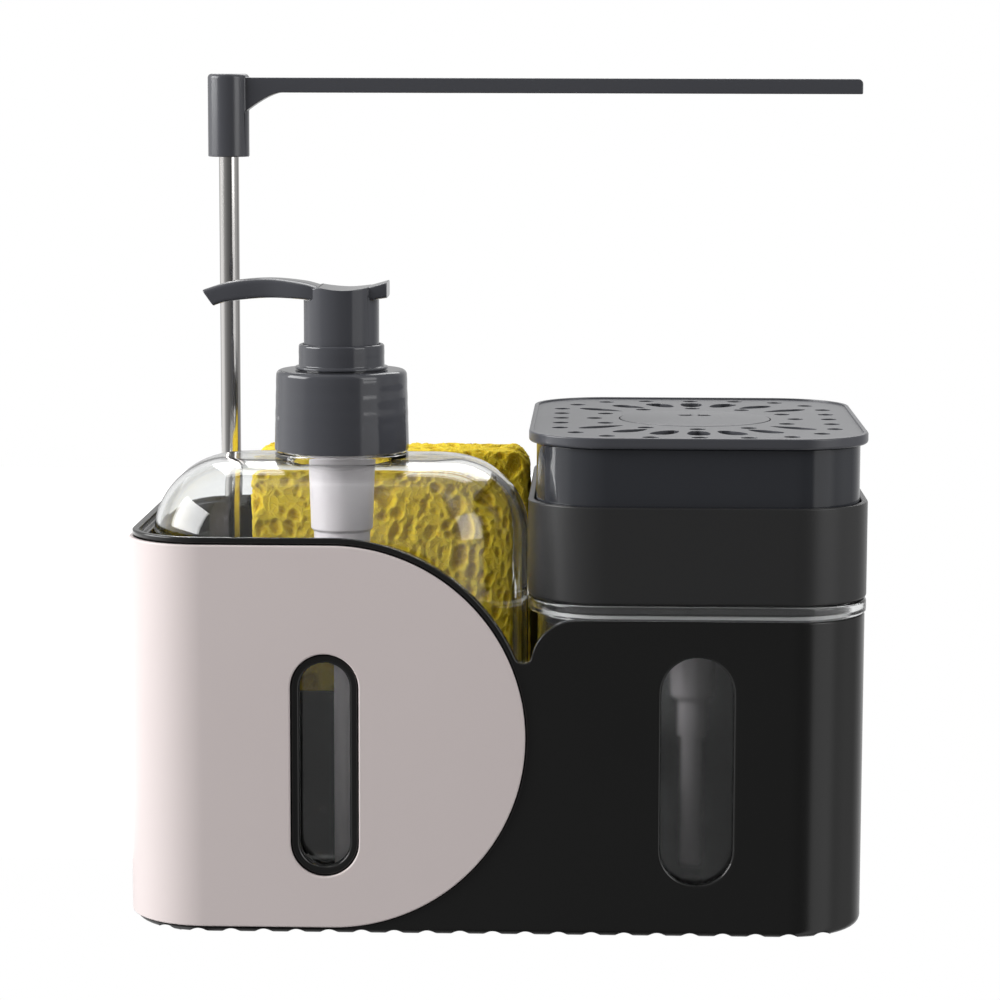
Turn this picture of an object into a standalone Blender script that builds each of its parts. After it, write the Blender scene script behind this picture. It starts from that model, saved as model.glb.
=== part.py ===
"""Kitchen soap caddy with a lotion pump bottle, a press-plate bottle, a sponge and a towel arm.

Lengths are in metres. +X is to the right, +Y to the back and +Z up. Heights are measured from
the surface that the caddy stands on. Places along X and Y are measured from the middle of the
caddy's base, and one empty then shifts everything so that the world origin is the middle of the
whole object's outline.
"""
import math

import bmesh
import bpy
from mathutils import Matrix, Vector

# Clearances
GAP = 0.0003
SLIDE_GAP = 0.0005

# Caddy body, outside
CADDY_WIDTH = 0.207
CADDY_DEPTH = 0.117
CADDY_CORNER = 0.023
BORDER_PROUD = 0.001
BORDER_WIDTH = 0.0020
BORDER_BAND = 0.0011
BORDER_FOOT_ROUND = 0.0011
FOOT_ROUND = 0.0025
RIM_Z = 0.1115
RIGHT_WALL_Z = 0.0890
RIGHT_SHOULDER = 0.0123
RIGHT_SHOULDER_X = 0.0226
NOTCH_ROUND = 0.0023

# Caddy body, inside
FLOOR = 0.003
LEFT_WALL = 0.0048
RIGHT_WALL = 0.002
RIM_WALL = 0.003
RIM_LEDGE_DROP = 0.0022
DIVIDER = 0.0018
RIGHT_BAY_SHARE = 0.44976
DIVIDER_Y = 0.0142
DIVIDER_TOP = 0.0555
POCKET_CORNER = 0.001
GROOVE_PITCH = 0.00915
GROOVE_WIDTH = 0.0046
GROOVE_DEPTH = 0.0011
GROOVES_EACH_SIDE = 10
SPONGE_RIB_HEIGHT = 0.0112
SPONGE_RIB = 0.002
SPONGE_RIBS = 5

# Side panel
PANEL_THICKNESS = 0.0015
PANEL_BOTTOM = 0.0021
D_X = -0.0448
PANEL_REAR_END = -0.0594
PANEL_REAR_CORNER = 0.008

# Windows
LEFT_WINDOW_WIDTH = 0.014
LEFT_WINDOW_HEIGHT = 0.0576
LEFT_WINDOW_Z = 0.04795
LEFT_WINDOW_OFFSET = -0.0019
WINDOW_LIP = 0.00225
RIGHT_WINDOW_WIDTH = 0.020
RIGHT_WINDOW_HEIGHT = 0.0640
RIGHT_WINDOW_Z = 0.0469

# Towel arm and its pole
POLE_SIDE_INSET = 0.020
POLE_REAR_INSET = 0.017
POLE_RADIUS = 0.003
POLE_WALL = 0.0007
POLE_TOP = 0.2333
SOCKET_WALL = 0.0025
SOCKET_HEIGHT = 0.022
BUSH_WALL = 0.0009
BUSH_LENGTH = 0.020
BUSH_TOP = 0.0015
HEAD_RADIUS = 0.0062
HEAD_BOTTOM = 0.2135
HEAD_TOP = 0.2383
ARM_LENGTH = 0.1901
ARM_TOP = 0.2372
ARM_HEIGHT = 0.0045
ARM_DEPTH = 0.0065
RAIL_BITE = 0.0007
GUSSET_RUN = 0.0104
GUSSET_DROP = 0.0056
GUSSET_CURVE = 1.45

# Left bottle
BOTTLE_CLEARANCE = 0.0009
LEFT_BOTTLE_CORNER = 0.028
LEFT_SHOULDER = 0.022
LEFT_BOTTLE_TOP = 0.1302
BOTTLE_WALL = 0.0015
BOTTLE_FLOOR = 0.0018
BOTTLE_FOOT_ROUND = 0.004
NECK_RADIUS = 0.0168
NECK_WALL = 0.0025
NECK_TOP = 0.1474
NECK_RING_RADIUS = 0.019
NECK_RING_HEIGHT = 0.0013

# Lotion pump
GASKET = 0.0015
FLANGE = 0.0015
RING_INSET = 0.00075
CLOSURE_BOTTOM = 0.1321
CLOSURE_RADIUS = 0.01915
CLOSURE_DRAFT = 0.0006
CLOSURE_WALL = 0.0018
CLOSURE_ROUND = 0.0008
GUIDE_RADIUS = 0.0122
GUIDE_TOP = 0.1622
GUIDE_WALL = 0.0011
GUIDE_LIP = 0.0017
GUIDE_LIP_HEIGHT = 0.0009
GUIDE_FLOOR = 0.0014
PUMP_STROKE = 0.012
HEAD_SKIRT_RADIUS = 0.0107
HEAD_SKIRT_WALL = 0.0013
HEAD_SKIRT_ENGAGED = 0.0013
HEAD_BASE_Z = 0.1753
HEAD_ROOF = 0.0018
HEAD_SHOULDER = 0.0008
ROD_RADIUS = 0.0036
ROD_BORE = 0.0018
ROD_BOTTOM = 0.1241
ROD_FLANGE_PLAY = 0.002
CYLINDER_BORE = 0.0072
CYLINDER_WALL = 0.0008
CYLINDER_BOTTOM = 0.0856
HOUSING_STEP_Z = 0.1095
HOUSING_NECK_RADIUS = 0.0095
HOUSING_CONE = 0.0084
BALL_RADIUS = 0.0025
VALVE_BORE = 0.0019
VALVE_SEAT = 0.0019
VALVE_CAGE = 0.006
SEAL_LENGTH = 0.006
SEAL_LIP = 0.0015
OUTLET_BALL_RADIUS = 0.0022
TUBE_RADIUS = 0.0025
TUBE_WALL = 0.0008
TUBE_SOCKET = 0.006
TUBE_END_GAP = 0.0024
SPRING_RADIUS = 0.0056
SPRING_WIRE = 0.00045
SPRING_CURLS = 7
NOZZLE_REACH = 0.0394
NOZZLE_SLANT = 0.0032
NOZZLE_BORE = 0.0014
THUMB_REACH = 0.0133
SPOUT_AROUND = 12
SPOUT_ROWS = 18
# Stations along the spout: place, rise of its top above the head's base, height, half width
SPOUT_STATIONS = (
    (-NOZZLE_REACH, 0.0020, 0.0045, 0.0030),
    (-0.0307, 0.0046, 0.0056, 0.0036),
    (-0.0205, 0.0055, 0.0056, 0.0044),
    (-HEAD_SKIRT_RADIUS, 0.0046, 0.0050, 0.0066),
    (-0.0048, 0.0030, 0.0042, 0.0099),
    (0.0013, 0.0021, 0.0033, 0.0106),
    (0.0066, 0.0026, 0.0034, 0.0092),
    (THUMB_REACH, 0.0042, 0.0036, 0.0053),
)

# Right bottle
UNIT_PROUD = 0.0003
UNIT_LAP = 0.0014
RIGHT_FLANGE = 0.004
RIGHT_CORNER = 0.022
RIGHT_BOTTLE_FLOOR = 0.0018

# Press-plate pump
COLLAR_TOP = 0.1206
COLLAR_WALL = 0.0018
COLLAR_FLOOR = 0.002
COLLAR_FLOOR_RISE = 0.002
PLUG_DROP = 0.0075
PLUG_WALL = 0.0022
SEAL_HEIGHT = 0.002
SEAL_GROOVE = 0.001
SKIRT_WALL = 0.0015
SKIRT_ENGAGED = 0.0097
TRAY_DROP = 0.0092
TRAY_FLOOR = 0.0015
TRAY_SPOUT = 0.003
PLATE_SIDE_STEP = 0.00015
PLATE_BOTTOM = 0.1367
PLATE_THICKNESS = 0.0031
EDGE_ROUND = 0.0009
DOME_RADIUS = 0.0217
DOME_RISE = 0.0009
DOME_STEP = -0.0003
DOME_FLANGE = 0.0025
STEM_RADIUS = 0.0026
STEM_BORE = 0.0013
STEM_SOCKET_WALL = 0.0015
STEM_SOCKET_DROP = 0.0135
PLATE_HOUSING_RADIUS = 0.0088
PLATE_HOUSING_FLANGE = 0.0032
PLATE_CYLINDER_RADIUS = 0.0062
PLATE_CYLINDER_BORE = 0.0052
PLATE_CYLINDER_BOTTOM = 0.058
PLATE_TAIL_BOTTOM = 0.0458
STEM_GUIDE_HEIGHT = 0.006
STEM_GUIDE_RADIUS = 0.0095
NUT_HEIGHT = 0.004
NUT_WALL = 0.0035
HOUSING_BELOW_NUT = 0.0015
PISTON_DROP = 0.0015
PLATE_TUBE_RADIUS = 0.003
PLATE_SPRING_RADIUS = 0.0070
PLATE_SPRING_WIRE = 0.0006
PLATE_SPRING_CURLS = 4

# Openings in the press plate and in its dome
HOLE_RADIUS = 0.00215
HOLE_INSET = 0.0085
SIDE_PITCH = 0.0133
END_PITCH = 0.0135
CORNER_SIDE_STEP = 0.0045
CORNER_SIDE_INSET = 0.0195
CORNER_END_STEP = 0.003
CORNER_END_X = 0.0255
RING_OFFSET = 0.0074
RING_ANGLES = (0, 27, 60, 90)
LEAF_WIDTH = 0.0056
LEAF_END_INSET = 0.0145
LEAF_SIDE_INSET = 0.0042
LEAF_STARTS = ((0.0069, 43.7), (0.0108, 64.1), (0.0112, 78.5), (0.0115, 90))
LEAF_ENDS = (38.7, 57, 74, 90)
SLOT_REACH = 0.0046
SLOT_START = 0.0019
SLOT_WIDTH = 0.001
ARROW_HALF = 0.0012
ARROW_NEAR = 0.001
ARROW_WIDTH = 0.001
ARROW_RISE = 0.0012

# Sponge
SPONGE_DEPTH = 0.024
SPONGE_HEIGHT = 0.1133
SPONGE_CORNER = 0.006
SPONGE_SIDE_GAP = 0.0013
SPONGE_POLE_GAP = 0.0027

# How finely curved faces are divided
CORNER_STEPS = 6
ARC_STEPS = 18
TURN_STEPS = 28
HIDDEN_STEPS = 16

# Worked out from the values above
HALF_WIDTH = CADDY_WIDTH / 2
HALF_DEPTH = CADDY_DEPTH / 2
FRONT_BACK = HALF_DEPTH - BORDER_PROUD
PANEL_TOP = RIM_Z - BORDER_WIDTH
D_RADIUS = (PANEL_TOP - PANEL_BOTTOM) / 2
D_CENTRE_Z = PANEL_BOTTOM + D_RADIUS
RIM_RADIUS = D_RADIUS + BORDER_WIDTH
DIVIDER_X = HALF_WIDTH - RIGHT_BAY_SHARE * CADDY_WIDTH
BAY_LEFT = -HALF_WIDTH + LEFT_WALL
BAY_RIGHT = DIVIDER_X - DIVIDER / 2
BAY_DEPTH = HALF_DEPTH - LEFT_WALL
BAY_BACK = DIVIDER_Y - DIVIDER / 2
RIGHT_BAY_LEFT = DIVIDER_X + DIVIDER / 2
LEFT_X = (BAY_LEFT + BAY_RIGHT) / 2
LEFT_Y = (BAY_BACK - BAY_DEPTH) / 2
LEFT_BOTTLE_WIDTH = BAY_RIGHT - BAY_LEFT - 2 * BOTTLE_CLEARANCE
LEFT_BOTTLE_DEPTH = BAY_BACK + BAY_DEPTH - 2 * BOTTLE_CLEARANCE
UNIT_LEFT = DIVIDER_X - UNIT_LAP
UNIT_RIGHT = HALF_WIDTH + UNIT_PROUD
RIGHT_UNIT_WIDTH = UNIT_RIGHT - UNIT_LEFT
RIGHT_X = (UNIT_LEFT + UNIT_RIGHT) / 2
PLATE_HALF = RIGHT_UNIT_WIDTH / 2 - PLATE_SIDE_STEP
POLE_X = -HALF_WIDTH + POLE_SIDE_INSET
POLE_Y = HALF_DEPTH - POLE_REAR_INSET
SOCKET_RADIUS = POLE_RADIUS + GAP + SOCKET_WALL
SPONGE_LEFT = POLE_X + SOCKET_RADIUS + SPONGE_POLE_GAP
SPONGE_RIGHT = BAY_RIGHT - SPONGE_SIDE_GAP
SPONGE_WIDTH = SPONGE_RIGHT - SPONGE_LEFT
FRAME_SHIFT = -max(POLE_X + ARM_LENGTH - HALF_WIDTH, UNIT_PROUD) / 2
BEYOND = 0.02
CUT_LAP = 0.009
HIGH = HEAD_TOP
BOTTLE_BOTTOM = FLOOR + GAP


def clear_scene():
    """Remove every object that the opened file holds."""
    for item in list(bpy.data.objects):
        bpy.data.objects.remove(item, do_unlink=True)


clear_scene()
PARTS = bpy.data.collections.new("soap_caddy")
CUTTERS = bpy.data.collections.new("cutters")
for made in (PARTS, CUTTERS):
    bpy.context.scene.collection.children.link(made)


def material(name, colour, roughness, metallic=0.0, alpha=1.0):
    """A Principled material with one colour."""
    made = bpy.data.materials.new(name)
    made.use_nodes = True
    shader = made.node_tree.nodes["Principled BSDF"]
    shader.inputs["Base Color"].default_value = (*colour, 1.0)
    shader.inputs["Roughness"].default_value = roughness
    shader.inputs["Metallic"].default_value = metallic
    shader.inputs["Alpha"].default_value = alpha
    made.diffuse_color = (*colour, alpha)
    return made


BLACK_SATIN = material("black_satin", (0.013, 0.013, 0.013), 0.38)
WHITE_SATIN = material("warm_white_satin", (0.72, 0.69, 0.67), 0.42)
SLATE = material("slate_plastic", (0.046, 0.050, 0.058), 0.30)
BLACK_GLOSS = material("black_gloss", (0.012, 0.012, 0.014), 0.12)
CLEAR = material("clear_plastic", (0.90, 0.93, 0.93), 0.05, alpha=0.25)
MILKY = material("milky_plastic", (0.80, 0.80, 0.82), 0.35)
STEEL = material("polished_steel", (0.62, 0.61, 0.60), 0.12, metallic=1.0)
SPRING_STEEL = material("spring_steel", (0.50, 0.50, 0.52), 0.25, metallic=1.0)
SEAL_RUBBER = material("seal_rubber", (0.60, 0.60, 0.60), 0.60)
SPONGE_YELLOW = material("sponge_yellow", (0.72, 0.55, 0.05), 0.85)


def empty(name, location, parent=None):
    """An empty that carries the pieces of one joint axis."""
    made = bpy.data.objects.new(name, None)
    made.location = location
    made.parent = parent
    PARTS.objects.link(made)
    return made


FRAME = empty("caddy_frame", (FRAME_SHIFT, 0, 0))
LEFT_AXIS = empty("left_pump_axis", (LEFT_X, LEFT_Y, 0), FRAME)
RIGHT_AXIS = empty("plate_pump_axis", (RIGHT_X, 0, 0), FRAME)
POLE_AXIS = empty("pole_axis", (POLE_X, POLE_Y, 0), FRAME)


def place(mesh, name, parent, finish):
    """Make an object of a mesh: a piece if it has a finish, else a cutter."""
    made = bpy.data.objects.new(name, mesh)
    made.parent = parent
    if finish is None:
        made.hide_render = True
        made.display_type = "WIRE"
        CUTTERS.objects.link(made)
    else:
        mesh.materials.append(finish)
        PARTS.objects.link(made)
    return made


def combine(piece, other, operation="DIFFERENCE"):
    """Cut a piece by another object, join it on, or keep what they share."""
    modifier = piece.modifiers.new(other.name, "BOOLEAN")
    modifier.operation = operation
    modifier.solver = "EXACT"
    modifier.object = other
    return piece


def smooth(mesh, angle=35):
    """Shade a mesh smooth, with its sharp edges kept."""
    mesh.shade_smooth()
    mesh.set_sharp_from_angle(angle=math.radians(angle))


def block(
    name, x, y, z, parent=None, finish=None, corner=0.0, top=0.0, foot=0.0, steps=CORNER_STEPS,
):
    """A box between pairs of limits, with rounded upright corners and rounded top and foot edges."""
    shape = bmesh.new()
    bmesh.ops.create_cube(shape, size=1.0)
    size = Vector((x[1] - x[0], y[1] - y[0], z[1] - z[0]))
    middle = Vector((x[0] + x[1], y[0] + y[1], z[0] + z[1])) / 2
    bmesh.ops.scale(shape, vec=size, verts=shape.verts)
    bmesh.ops.translate(shape, vec=middle, verts=shape.verts)
    if corner:
        rises = {edge: abs(edge.verts[0].co.z - edge.verts[1].co.z) for edge in shape.edges}
        upright = [edge for edge, rise in rises.items() if rise > size.z / 2]
        round_edges(shape, upright, corner, steps)
    for level, radius in ((z[1], top), (z[0], foot)):
        if radius:
            rim = [edge for edge in shape.edges if all(abs(v.co.z - level) < 1e-6 for v in edge.verts)]
            round_edges(shape, rim, radius, max(3, steps // 2))
    bmesh.ops.recalc_face_normals(shape, faces=shape.faces)
    mesh = bpy.data.meshes.new(name)
    shape.to_mesh(mesh)
    shape.free()
    smooth(mesh)
    return place(mesh, name, parent or FRAME, finish)


def round_edges(shape, edges, radius, steps):
    """Round some edges of a bmesh."""
    bmesh.ops.bevel(
        shape, geom=edges, offset=radius, offset_type="OFFSET", segments=steps, profile=0.5,
        affect="EDGES", clamp_overlap=True,
    )


def turned(name, profile, parent, finish=None, closed=True, steps=TURN_STEPS):
    """A turned piece: (radius, height) points down the outer side, then back up the inner side."""
    mesh = bpy.data.meshes.new(name)
    count = len(profile)
    edges = [(i, i + 1) for i in range(count - 1)]
    if closed:
        edges.append((count - 1, 0))
    mesh.from_pydata([(radius, 0, height) for radius, height in profile], edges, [])
    made = place(mesh, name, parent, finish)
    screw = made.modifiers.new("turn", "SCREW")
    screw.axis = "Z"
    screw.steps = steps
    screw.render_steps = steps
    screw.use_merge_vertices = True
    screw.merge_threshold = 0.00001
    screw.use_smooth_shade = True
    return made


def arc(centre, radius, start, end, steps):
    """Points on an arc, with its angles in degrees."""
    turns = [math.radians(start + (end - start) * i / steps) for i in range(steps + 1)]
    return [(centre[0] + radius * math.cos(t), centre[1] + radius * math.sin(t)) for t in turns]


def bearing(start, end):
    """The angle in degrees of the line from one point to another."""
    return math.degrees(math.atan2(end[1] - start[1], end[0] - start[0]))


def outline(name, points, low, high, upright=True, parent=None, finish=None):
    """A flat outline with a thickness. Upright, it is drawn in X and Z and runs from low to high in Y."""
    curve = bpy.data.curves.new(name, "CURVE")
    curve.dimensions = "2D"
    curve.fill_mode = "BOTH"
    curve.extrude = (high - low) / 2
    spline = curve.splines.new("POLY")
    spline.points.add(len(points) - 1)
    for point, (across, along) in zip(spline.points, points):
        point.co = (across, along, 0, 1)
    spline.use_cyclic_u = True
    drawn = bpy.data.objects.new(name, curve)
    PARTS.objects.link(drawn)
    mesh = mesh_of(drawn)
    if upright:
        mesh.transform(Matrix.Rotation(math.pi / 2, 4, "X"))
        mesh.transform(Matrix.Translation((0, (low + high) / 2, 0)))
    else:
        mesh.transform(Matrix.Translation((0, 0, (low + high) / 2)))
    mesh.name = name
    return place(mesh, name, parent or FRAME, finish)


def mesh_of(drawn):
    """The closed mesh of a curve object, which is removed."""
    bpy.context.view_layer.update()
    graph = bpy.context.evaluated_depsgraph_get()
    mesh = bpy.data.meshes.new_from_object(drawn.evaluated_get(graph))
    shape = bmesh.new()
    shape.from_mesh(mesh)
    bmesh.ops.remove_doubles(shape, verts=shape.verts, dist=0.00001)
    bmesh.ops.recalc_face_normals(shape, faces=shape.faces)
    shape.to_mesh(mesh)
    shape.free()
    bpy.data.objects.remove(drawn, do_unlink=True)
    return mesh


def capsule(centre, width, height, steps=10):
    """The outline of an upright slot with round ends."""
    radius = width / 2
    rise = height / 2 - radius
    upper = arc((centre[0], centre[1] + rise), radius, 0, 180, steps)
    lower = arc((centre[0], centre[1] - rise), radius, 180, 360, steps)
    return upper + lower


def tube_along(name, points, radius, parent, finish=None, resolution=1):
    """A round bar or tube of a radius along points."""
    curve = bpy.data.curves.new(name, "CURVE")
    curve.dimensions = "3D"
    curve.bevel_depth = radius
    curve.bevel_resolution = resolution
    curve.use_fill_caps = True
    spline = curve.splines.new("POLY")
    spline.points.add(len(points) - 1)
    for point, place_at in zip(spline.points, points):
        point.co = (*place_at, 1)
    drawn = bpy.data.objects.new(name, curve)
    PARTS.objects.link(drawn)
    mesh = mesh_of(drawn)
    mesh.name = name
    smooth(mesh)
    return place(mesh, name, parent, finish)


def coil_spring(name, low, high, radius, wire, curls, parent):
    """A spring of whole curls between two levels, with its least gap to itself printed."""
    first = low + wire
    rise = high - low - 2 * wire
    around = 8
    count = curls * around
    points = []
    for i in range(count + 1):
        turn = 2 * math.pi * i / around
        points.append((radius * math.cos(turn), radius * math.sin(turn), first + rise * i / count))
    gaps = [math.dist(a, b) for i, a in enumerate(points) for b in points[i + around - 1:]]
    print(name, "least gap to itself, mm:", round((min(gaps) - 2 * wire) * 1000, 3))
    return tube_along(name, points, wire, parent, SPRING_STEEL)


def ball(name, radius, height, parent):
    """A steel valve ball on its pump's axis."""
    shape = bmesh.new()
    bmesh.ops.create_icosphere(shape, subdivisions=2, radius=radius)
    bmesh.ops.translate(shape, vec=(0, 0, height), verts=shape.verts)
    mesh = bpy.data.meshes.new(name)
    shape.to_mesh(mesh)
    shape.free()
    mesh.shade_smooth()
    return place(mesh, name, parent, STEEL)


def seat_height(radius, bore):
    """How far a ball's middle lies above the rim of the bore that it closes."""
    return math.sqrt(radius ** 2 - bore ** 2) + GAP


def trim_right(name, radius, rear_end, rear_corner, low, high):
    """Two cutters that leave the D shape at the front and a rounded end at the rear."""
    far = HALF_WIDTH + BEYOND
    front = [(D_X, RIM_Z + BEYOND)]
    front += arc((D_X, D_CENTRE_Z), radius, 90, -90, ARC_STEPS)
    front += [(D_X, -BEYOND), (far, -BEYOND), (far, RIM_Z + BEYOND)]
    front_cut = outline(name + "_front", front, -HALF_DEPTH - BEYOND, CUT_LAP)
    corner_x = rear_end - rear_corner
    rear = [(corner_x, RIM_Z + BEYOND)]
    rear += arc((corner_x, high - rear_corner), rear_corner, 90, 0, CORNER_STEPS)
    rear += arc((corner_x, low + rear_corner), rear_corner, 0, -90, CORNER_STEPS)
    rear += [(corner_x, -BEYOND), (far, -BEYOND), (far, RIM_Z + BEYOND)]
    rear_cut = outline(name + "_rear", rear, -CUT_LAP, HALF_DEPTH + BEYOND)
    return front_cut, rear_cut


def panel_shell(name, grow, outward, finish=None):
    """The D-shaped side panel, or grown, the recess that it sits in."""
    low = PANEL_BOTTOM - grow
    high = PANEL_TOP + grow
    reach = HALF_WIDTH + outward
    side = HALF_DEPTH + outward
    shell = block(
        name, (-reach, reach), (-side, side), (low, high), finish=finish, corner=CADDY_CORNER + outward,
    )
    depth = PANEL_THICKNESS + grow
    hollow = block(
        name + "_hollow", (-HALF_WIDTH + depth, reach + BEYOND), (-HALF_DEPTH + depth, HALF_DEPTH - depth),
        (-BEYOND, HIGH), corner=CADDY_CORNER - depth,
    )
    combine(shell, hollow)
    cuts = trim_right(
        name, D_RADIUS + grow, PANEL_REAR_END + grow, PANEL_REAR_CORNER + grow, low, high
    )
    for cut in cuts:
        combine(shell, cut)
    lip = 2 * (WINDOW_LIP + GAP - grow)
    window = outline(
        name + "_window",
        capsule((D_X + LEFT_WINDOW_OFFSET, LEFT_WINDOW_Z), LEFT_WINDOW_WIDTH + lip, LEFT_WINDOW_HEIGHT + lip),
        -side - BEYOND, 0,
    )
    return combine(shell, window)


def wall_top_outline():
    """What lies above the walls: the flat left rim, the D's arc, the notch and the lower right wall."""
    d_centre = (D_X, D_CENTRE_Z)
    shoulder = (RIGHT_SHOULDER_X, RIGHT_WALL_Z - RIGHT_SHOULDER)
    reach = math.dist(d_centre, shoulder)
    first = RIM_RADIUS + NOTCH_ROUND
    second = RIGHT_SHOULDER + NOTCH_ROUND
    along = (first ** 2 - second ** 2 + reach ** 2) / (2 * reach)
    aside = math.sqrt(first ** 2 - along ** 2)
    run = ((shoulder[0] - d_centre[0]) / reach, (shoulder[1] - d_centre[1]) / reach)
    notch = (
        d_centre[0] + along * run[0] - aside * run[1],
        d_centre[1] + along * run[1] + aside * run[0],
    )
    down = bearing(d_centre, notch)
    up = bearing(shoulder, notch)
    far = HALF_WIDTH + BEYOND
    points = [(-far, RIM_Z)]
    points += arc(d_centre, RIM_RADIUS, 90, down, ARC_STEPS // 2)
    points += arc(notch, NOTCH_ROUND, down + 180, up + 180, CORNER_STEPS)[1:-1]
    points += arc(shoulder, RIGHT_SHOULDER, up, 90, CORNER_STEPS)
    points += [(far, RIGHT_WALL_Z), (far, HIGH + BEYOND), (-far, HIGH + BEYOND)]
    return points


def foot_grooves():
    """The cutter for the grooves that run front to back under the base."""
    radius = (GROOVE_WIDTH ** 2 / 4 + GROOVE_DEPTH ** 2) / (2 * GROOVE_DEPTH)
    shape = bmesh.new()
    turn = Matrix.Rotation(math.pi / 2, 4, "X")
    for i in range(-GROOVES_EACH_SIDE, GROOVES_EACH_SIDE + 1):
        shift = Matrix.Translation((i * GROOVE_PITCH, 0, GROOVE_DEPTH - radius))
        bmesh.ops.create_cone(
            shape, cap_ends=True, segments=18, radius1=radius, radius2=radius,
            depth=CADDY_DEPTH + BEYOND, matrix=shift @ turn,
        )
    mesh = bpy.data.meshes.new("foot_grooves")
    shape.to_mesh(mesh)
    shape.free()
    return place(mesh, "foot_grooves", FRAME, None)


def make_caddy():
    """The black body: two bays, a sponge slot, the proud D border, windows and the pole's socket."""
    caddy = block(
        "caddy_body", (-HALF_WIDTH, HALF_WIDTH), (-HALF_DEPTH, HALF_DEPTH),
        (PANEL_BOTTOM - BORDER_BAND, HIGH), finish=BLACK_SATIN, corner=CADDY_CORNER, foot=BORDER_FOOT_ROUND,
    )
    cuts = trim_right(
        "border", RIM_RADIUS, PANEL_REAR_END + BORDER_WIDTH, PANEL_REAR_CORNER + BORDER_WIDTH,
        -2 * BEYOND, RIM_Z,
    )
    for cut in cuts:
        combine(caddy, cut)
    main = block(
        "main_body", (-HALF_WIDTH + BORDER_PROUD, HALF_WIDTH), (-FRONT_BACK, FRONT_BACK), (0, HIGH + GAP),
        corner=CADDY_CORNER - BORDER_PROUD, foot=FOOT_ROUND,
    )
    combine(caddy, main, "UNION")
    above = outline("above_walls", wall_top_outline(), -HALF_DEPTH - BEYOND, HALF_DEPTH + BEYOND)
    combine(caddy, above)
    inner_corner = CADDY_CORNER - LEFT_WALL
    bay = (BAY_LEFT, HALF_WIDTH / 2)
    upper = block(
        "upper_hollow", bay, (-BAY_DEPTH, BAY_DEPTH), (DIVIDER_TOP, HIGH + BEYOND), corner=inner_corner,
    )
    combine(caddy, upper)
    rim_side = HALF_DEPTH - RIM_WALL
    rim = block(
        "rim_ledge", (-HALF_WIDTH + RIM_WALL, HALF_WIDTH / 2), (-rim_side, rim_side),
        (RIM_Z - RIM_LEDGE_DROP, HIGH + BEYOND), corner=CADDY_CORNER - RIM_WALL,
    )
    combine(caddy, rim)
    pockets = {
        "bottle_bay": ((-HALF_WIDTH - BEYOND, BAY_RIGHT), (-HALF_DEPTH - BEYOND, BAY_BACK)),
        "sponge_slot": ((-HALF_WIDTH - BEYOND, BAY_RIGHT), (BAY_BACK + DIVIDER, HALF_DEPTH + BEYOND)),
    }
    for name, (x, y) in pockets.items():
        pocket = block(name, x, y, (-BEYOND, DIVIDER_TOP + DIVIDER), corner=POCKET_CORNER)
        walls = block(
            name + "_walls", bay, (-BAY_DEPTH, BAY_DEPTH), (FLOOR, HIGH), corner=inner_corner,
        )
        combine(pocket, walls, "INTERSECT")
        combine(caddy, pocket)
    right = block(
        "right_bay", (RIGHT_BAY_LEFT, HALF_WIDTH - RIGHT_WALL),
        (-FRONT_BACK + RIGHT_WALL, FRONT_BACK - RIGHT_WALL), (FLOOR, HIGH + BEYOND),
        corner=CADDY_CORNER - BORDER_PROUD - RIGHT_WALL,
    )
    combine(caddy, right)
    combine(caddy, panel_shell("panel_recess", GAP, BORDER_PROUD))
    windows = {
        "left_window": ((D_X + LEFT_WINDOW_OFFSET, LEFT_WINDOW_Z), LEFT_WINDOW_WIDTH, LEFT_WINDOW_HEIGHT),
        "right_window": ((RIGHT_X, RIGHT_WINDOW_Z), RIGHT_WINDOW_WIDTH, RIGHT_WINDOW_HEIGHT),
    }
    for name, (middle, width, height) in windows.items():
        slot = capsule(middle, width, height)
        combine(caddy, outline(name, slot, -HALF_DEPTH - BEYOND, -HALF_DEPTH / 2))
    combine(caddy, foot_grooves())
    combine(caddy, sponge_rack(), "UNION")
    half_floor = FLOOR / 2
    socket = turned(
        "pole_socket",
        [(0, FLOOR + SOCKET_HEIGHT), (SOCKET_RADIUS, FLOOR + SOCKET_HEIGHT), (SOCKET_RADIUS, half_floor),
         (0, half_floor)],
        POLE_AXIS, closed=False, steps=HIDDEN_STEPS,
    )
    combine(caddy, socket, "UNION")
    bore = POLE_RADIUS + GAP
    hole = turned(
        "pole_hole", [(0, HIGH), (bore, HIGH), (bore, FLOOR + GAP), (0, FLOOR + GAP)],
        POLE_AXIS, closed=False, steps=HIDDEN_STEPS,
    )
    combine(caddy, hole)


def sponge_rack():
    """The ribs that the sponge stands on, in the slot's floor."""
    shape = bmesh.new()
    spacing = SPONGE_WIDTH / SPONGE_RIBS
    low = FLOOR / 2
    high = FLOOR + SPONGE_RIB_HEIGHT
    front = DIVIDER_Y
    back = HALF_DEPTH - LEFT_WALL / 2
    for i in range(SPONGE_RIBS):
        made = bmesh.ops.create_cube(shape, size=1.0)["verts"]
        bmesh.ops.scale(shape, vec=(SPONGE_RIB, back - front, high - low), verts=made)
        middle = (SPONGE_LEFT + (i + 0.5) * spacing, (front + back) / 2, (low + high) / 2)
        bmesh.ops.translate(shape, vec=middle, verts=made)
    mesh = bpy.data.meshes.new("sponge_rack")
    shape.to_mesh(mesh)
    shape.free()
    return place(mesh, "sponge_rack", FRAME, None)


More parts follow.
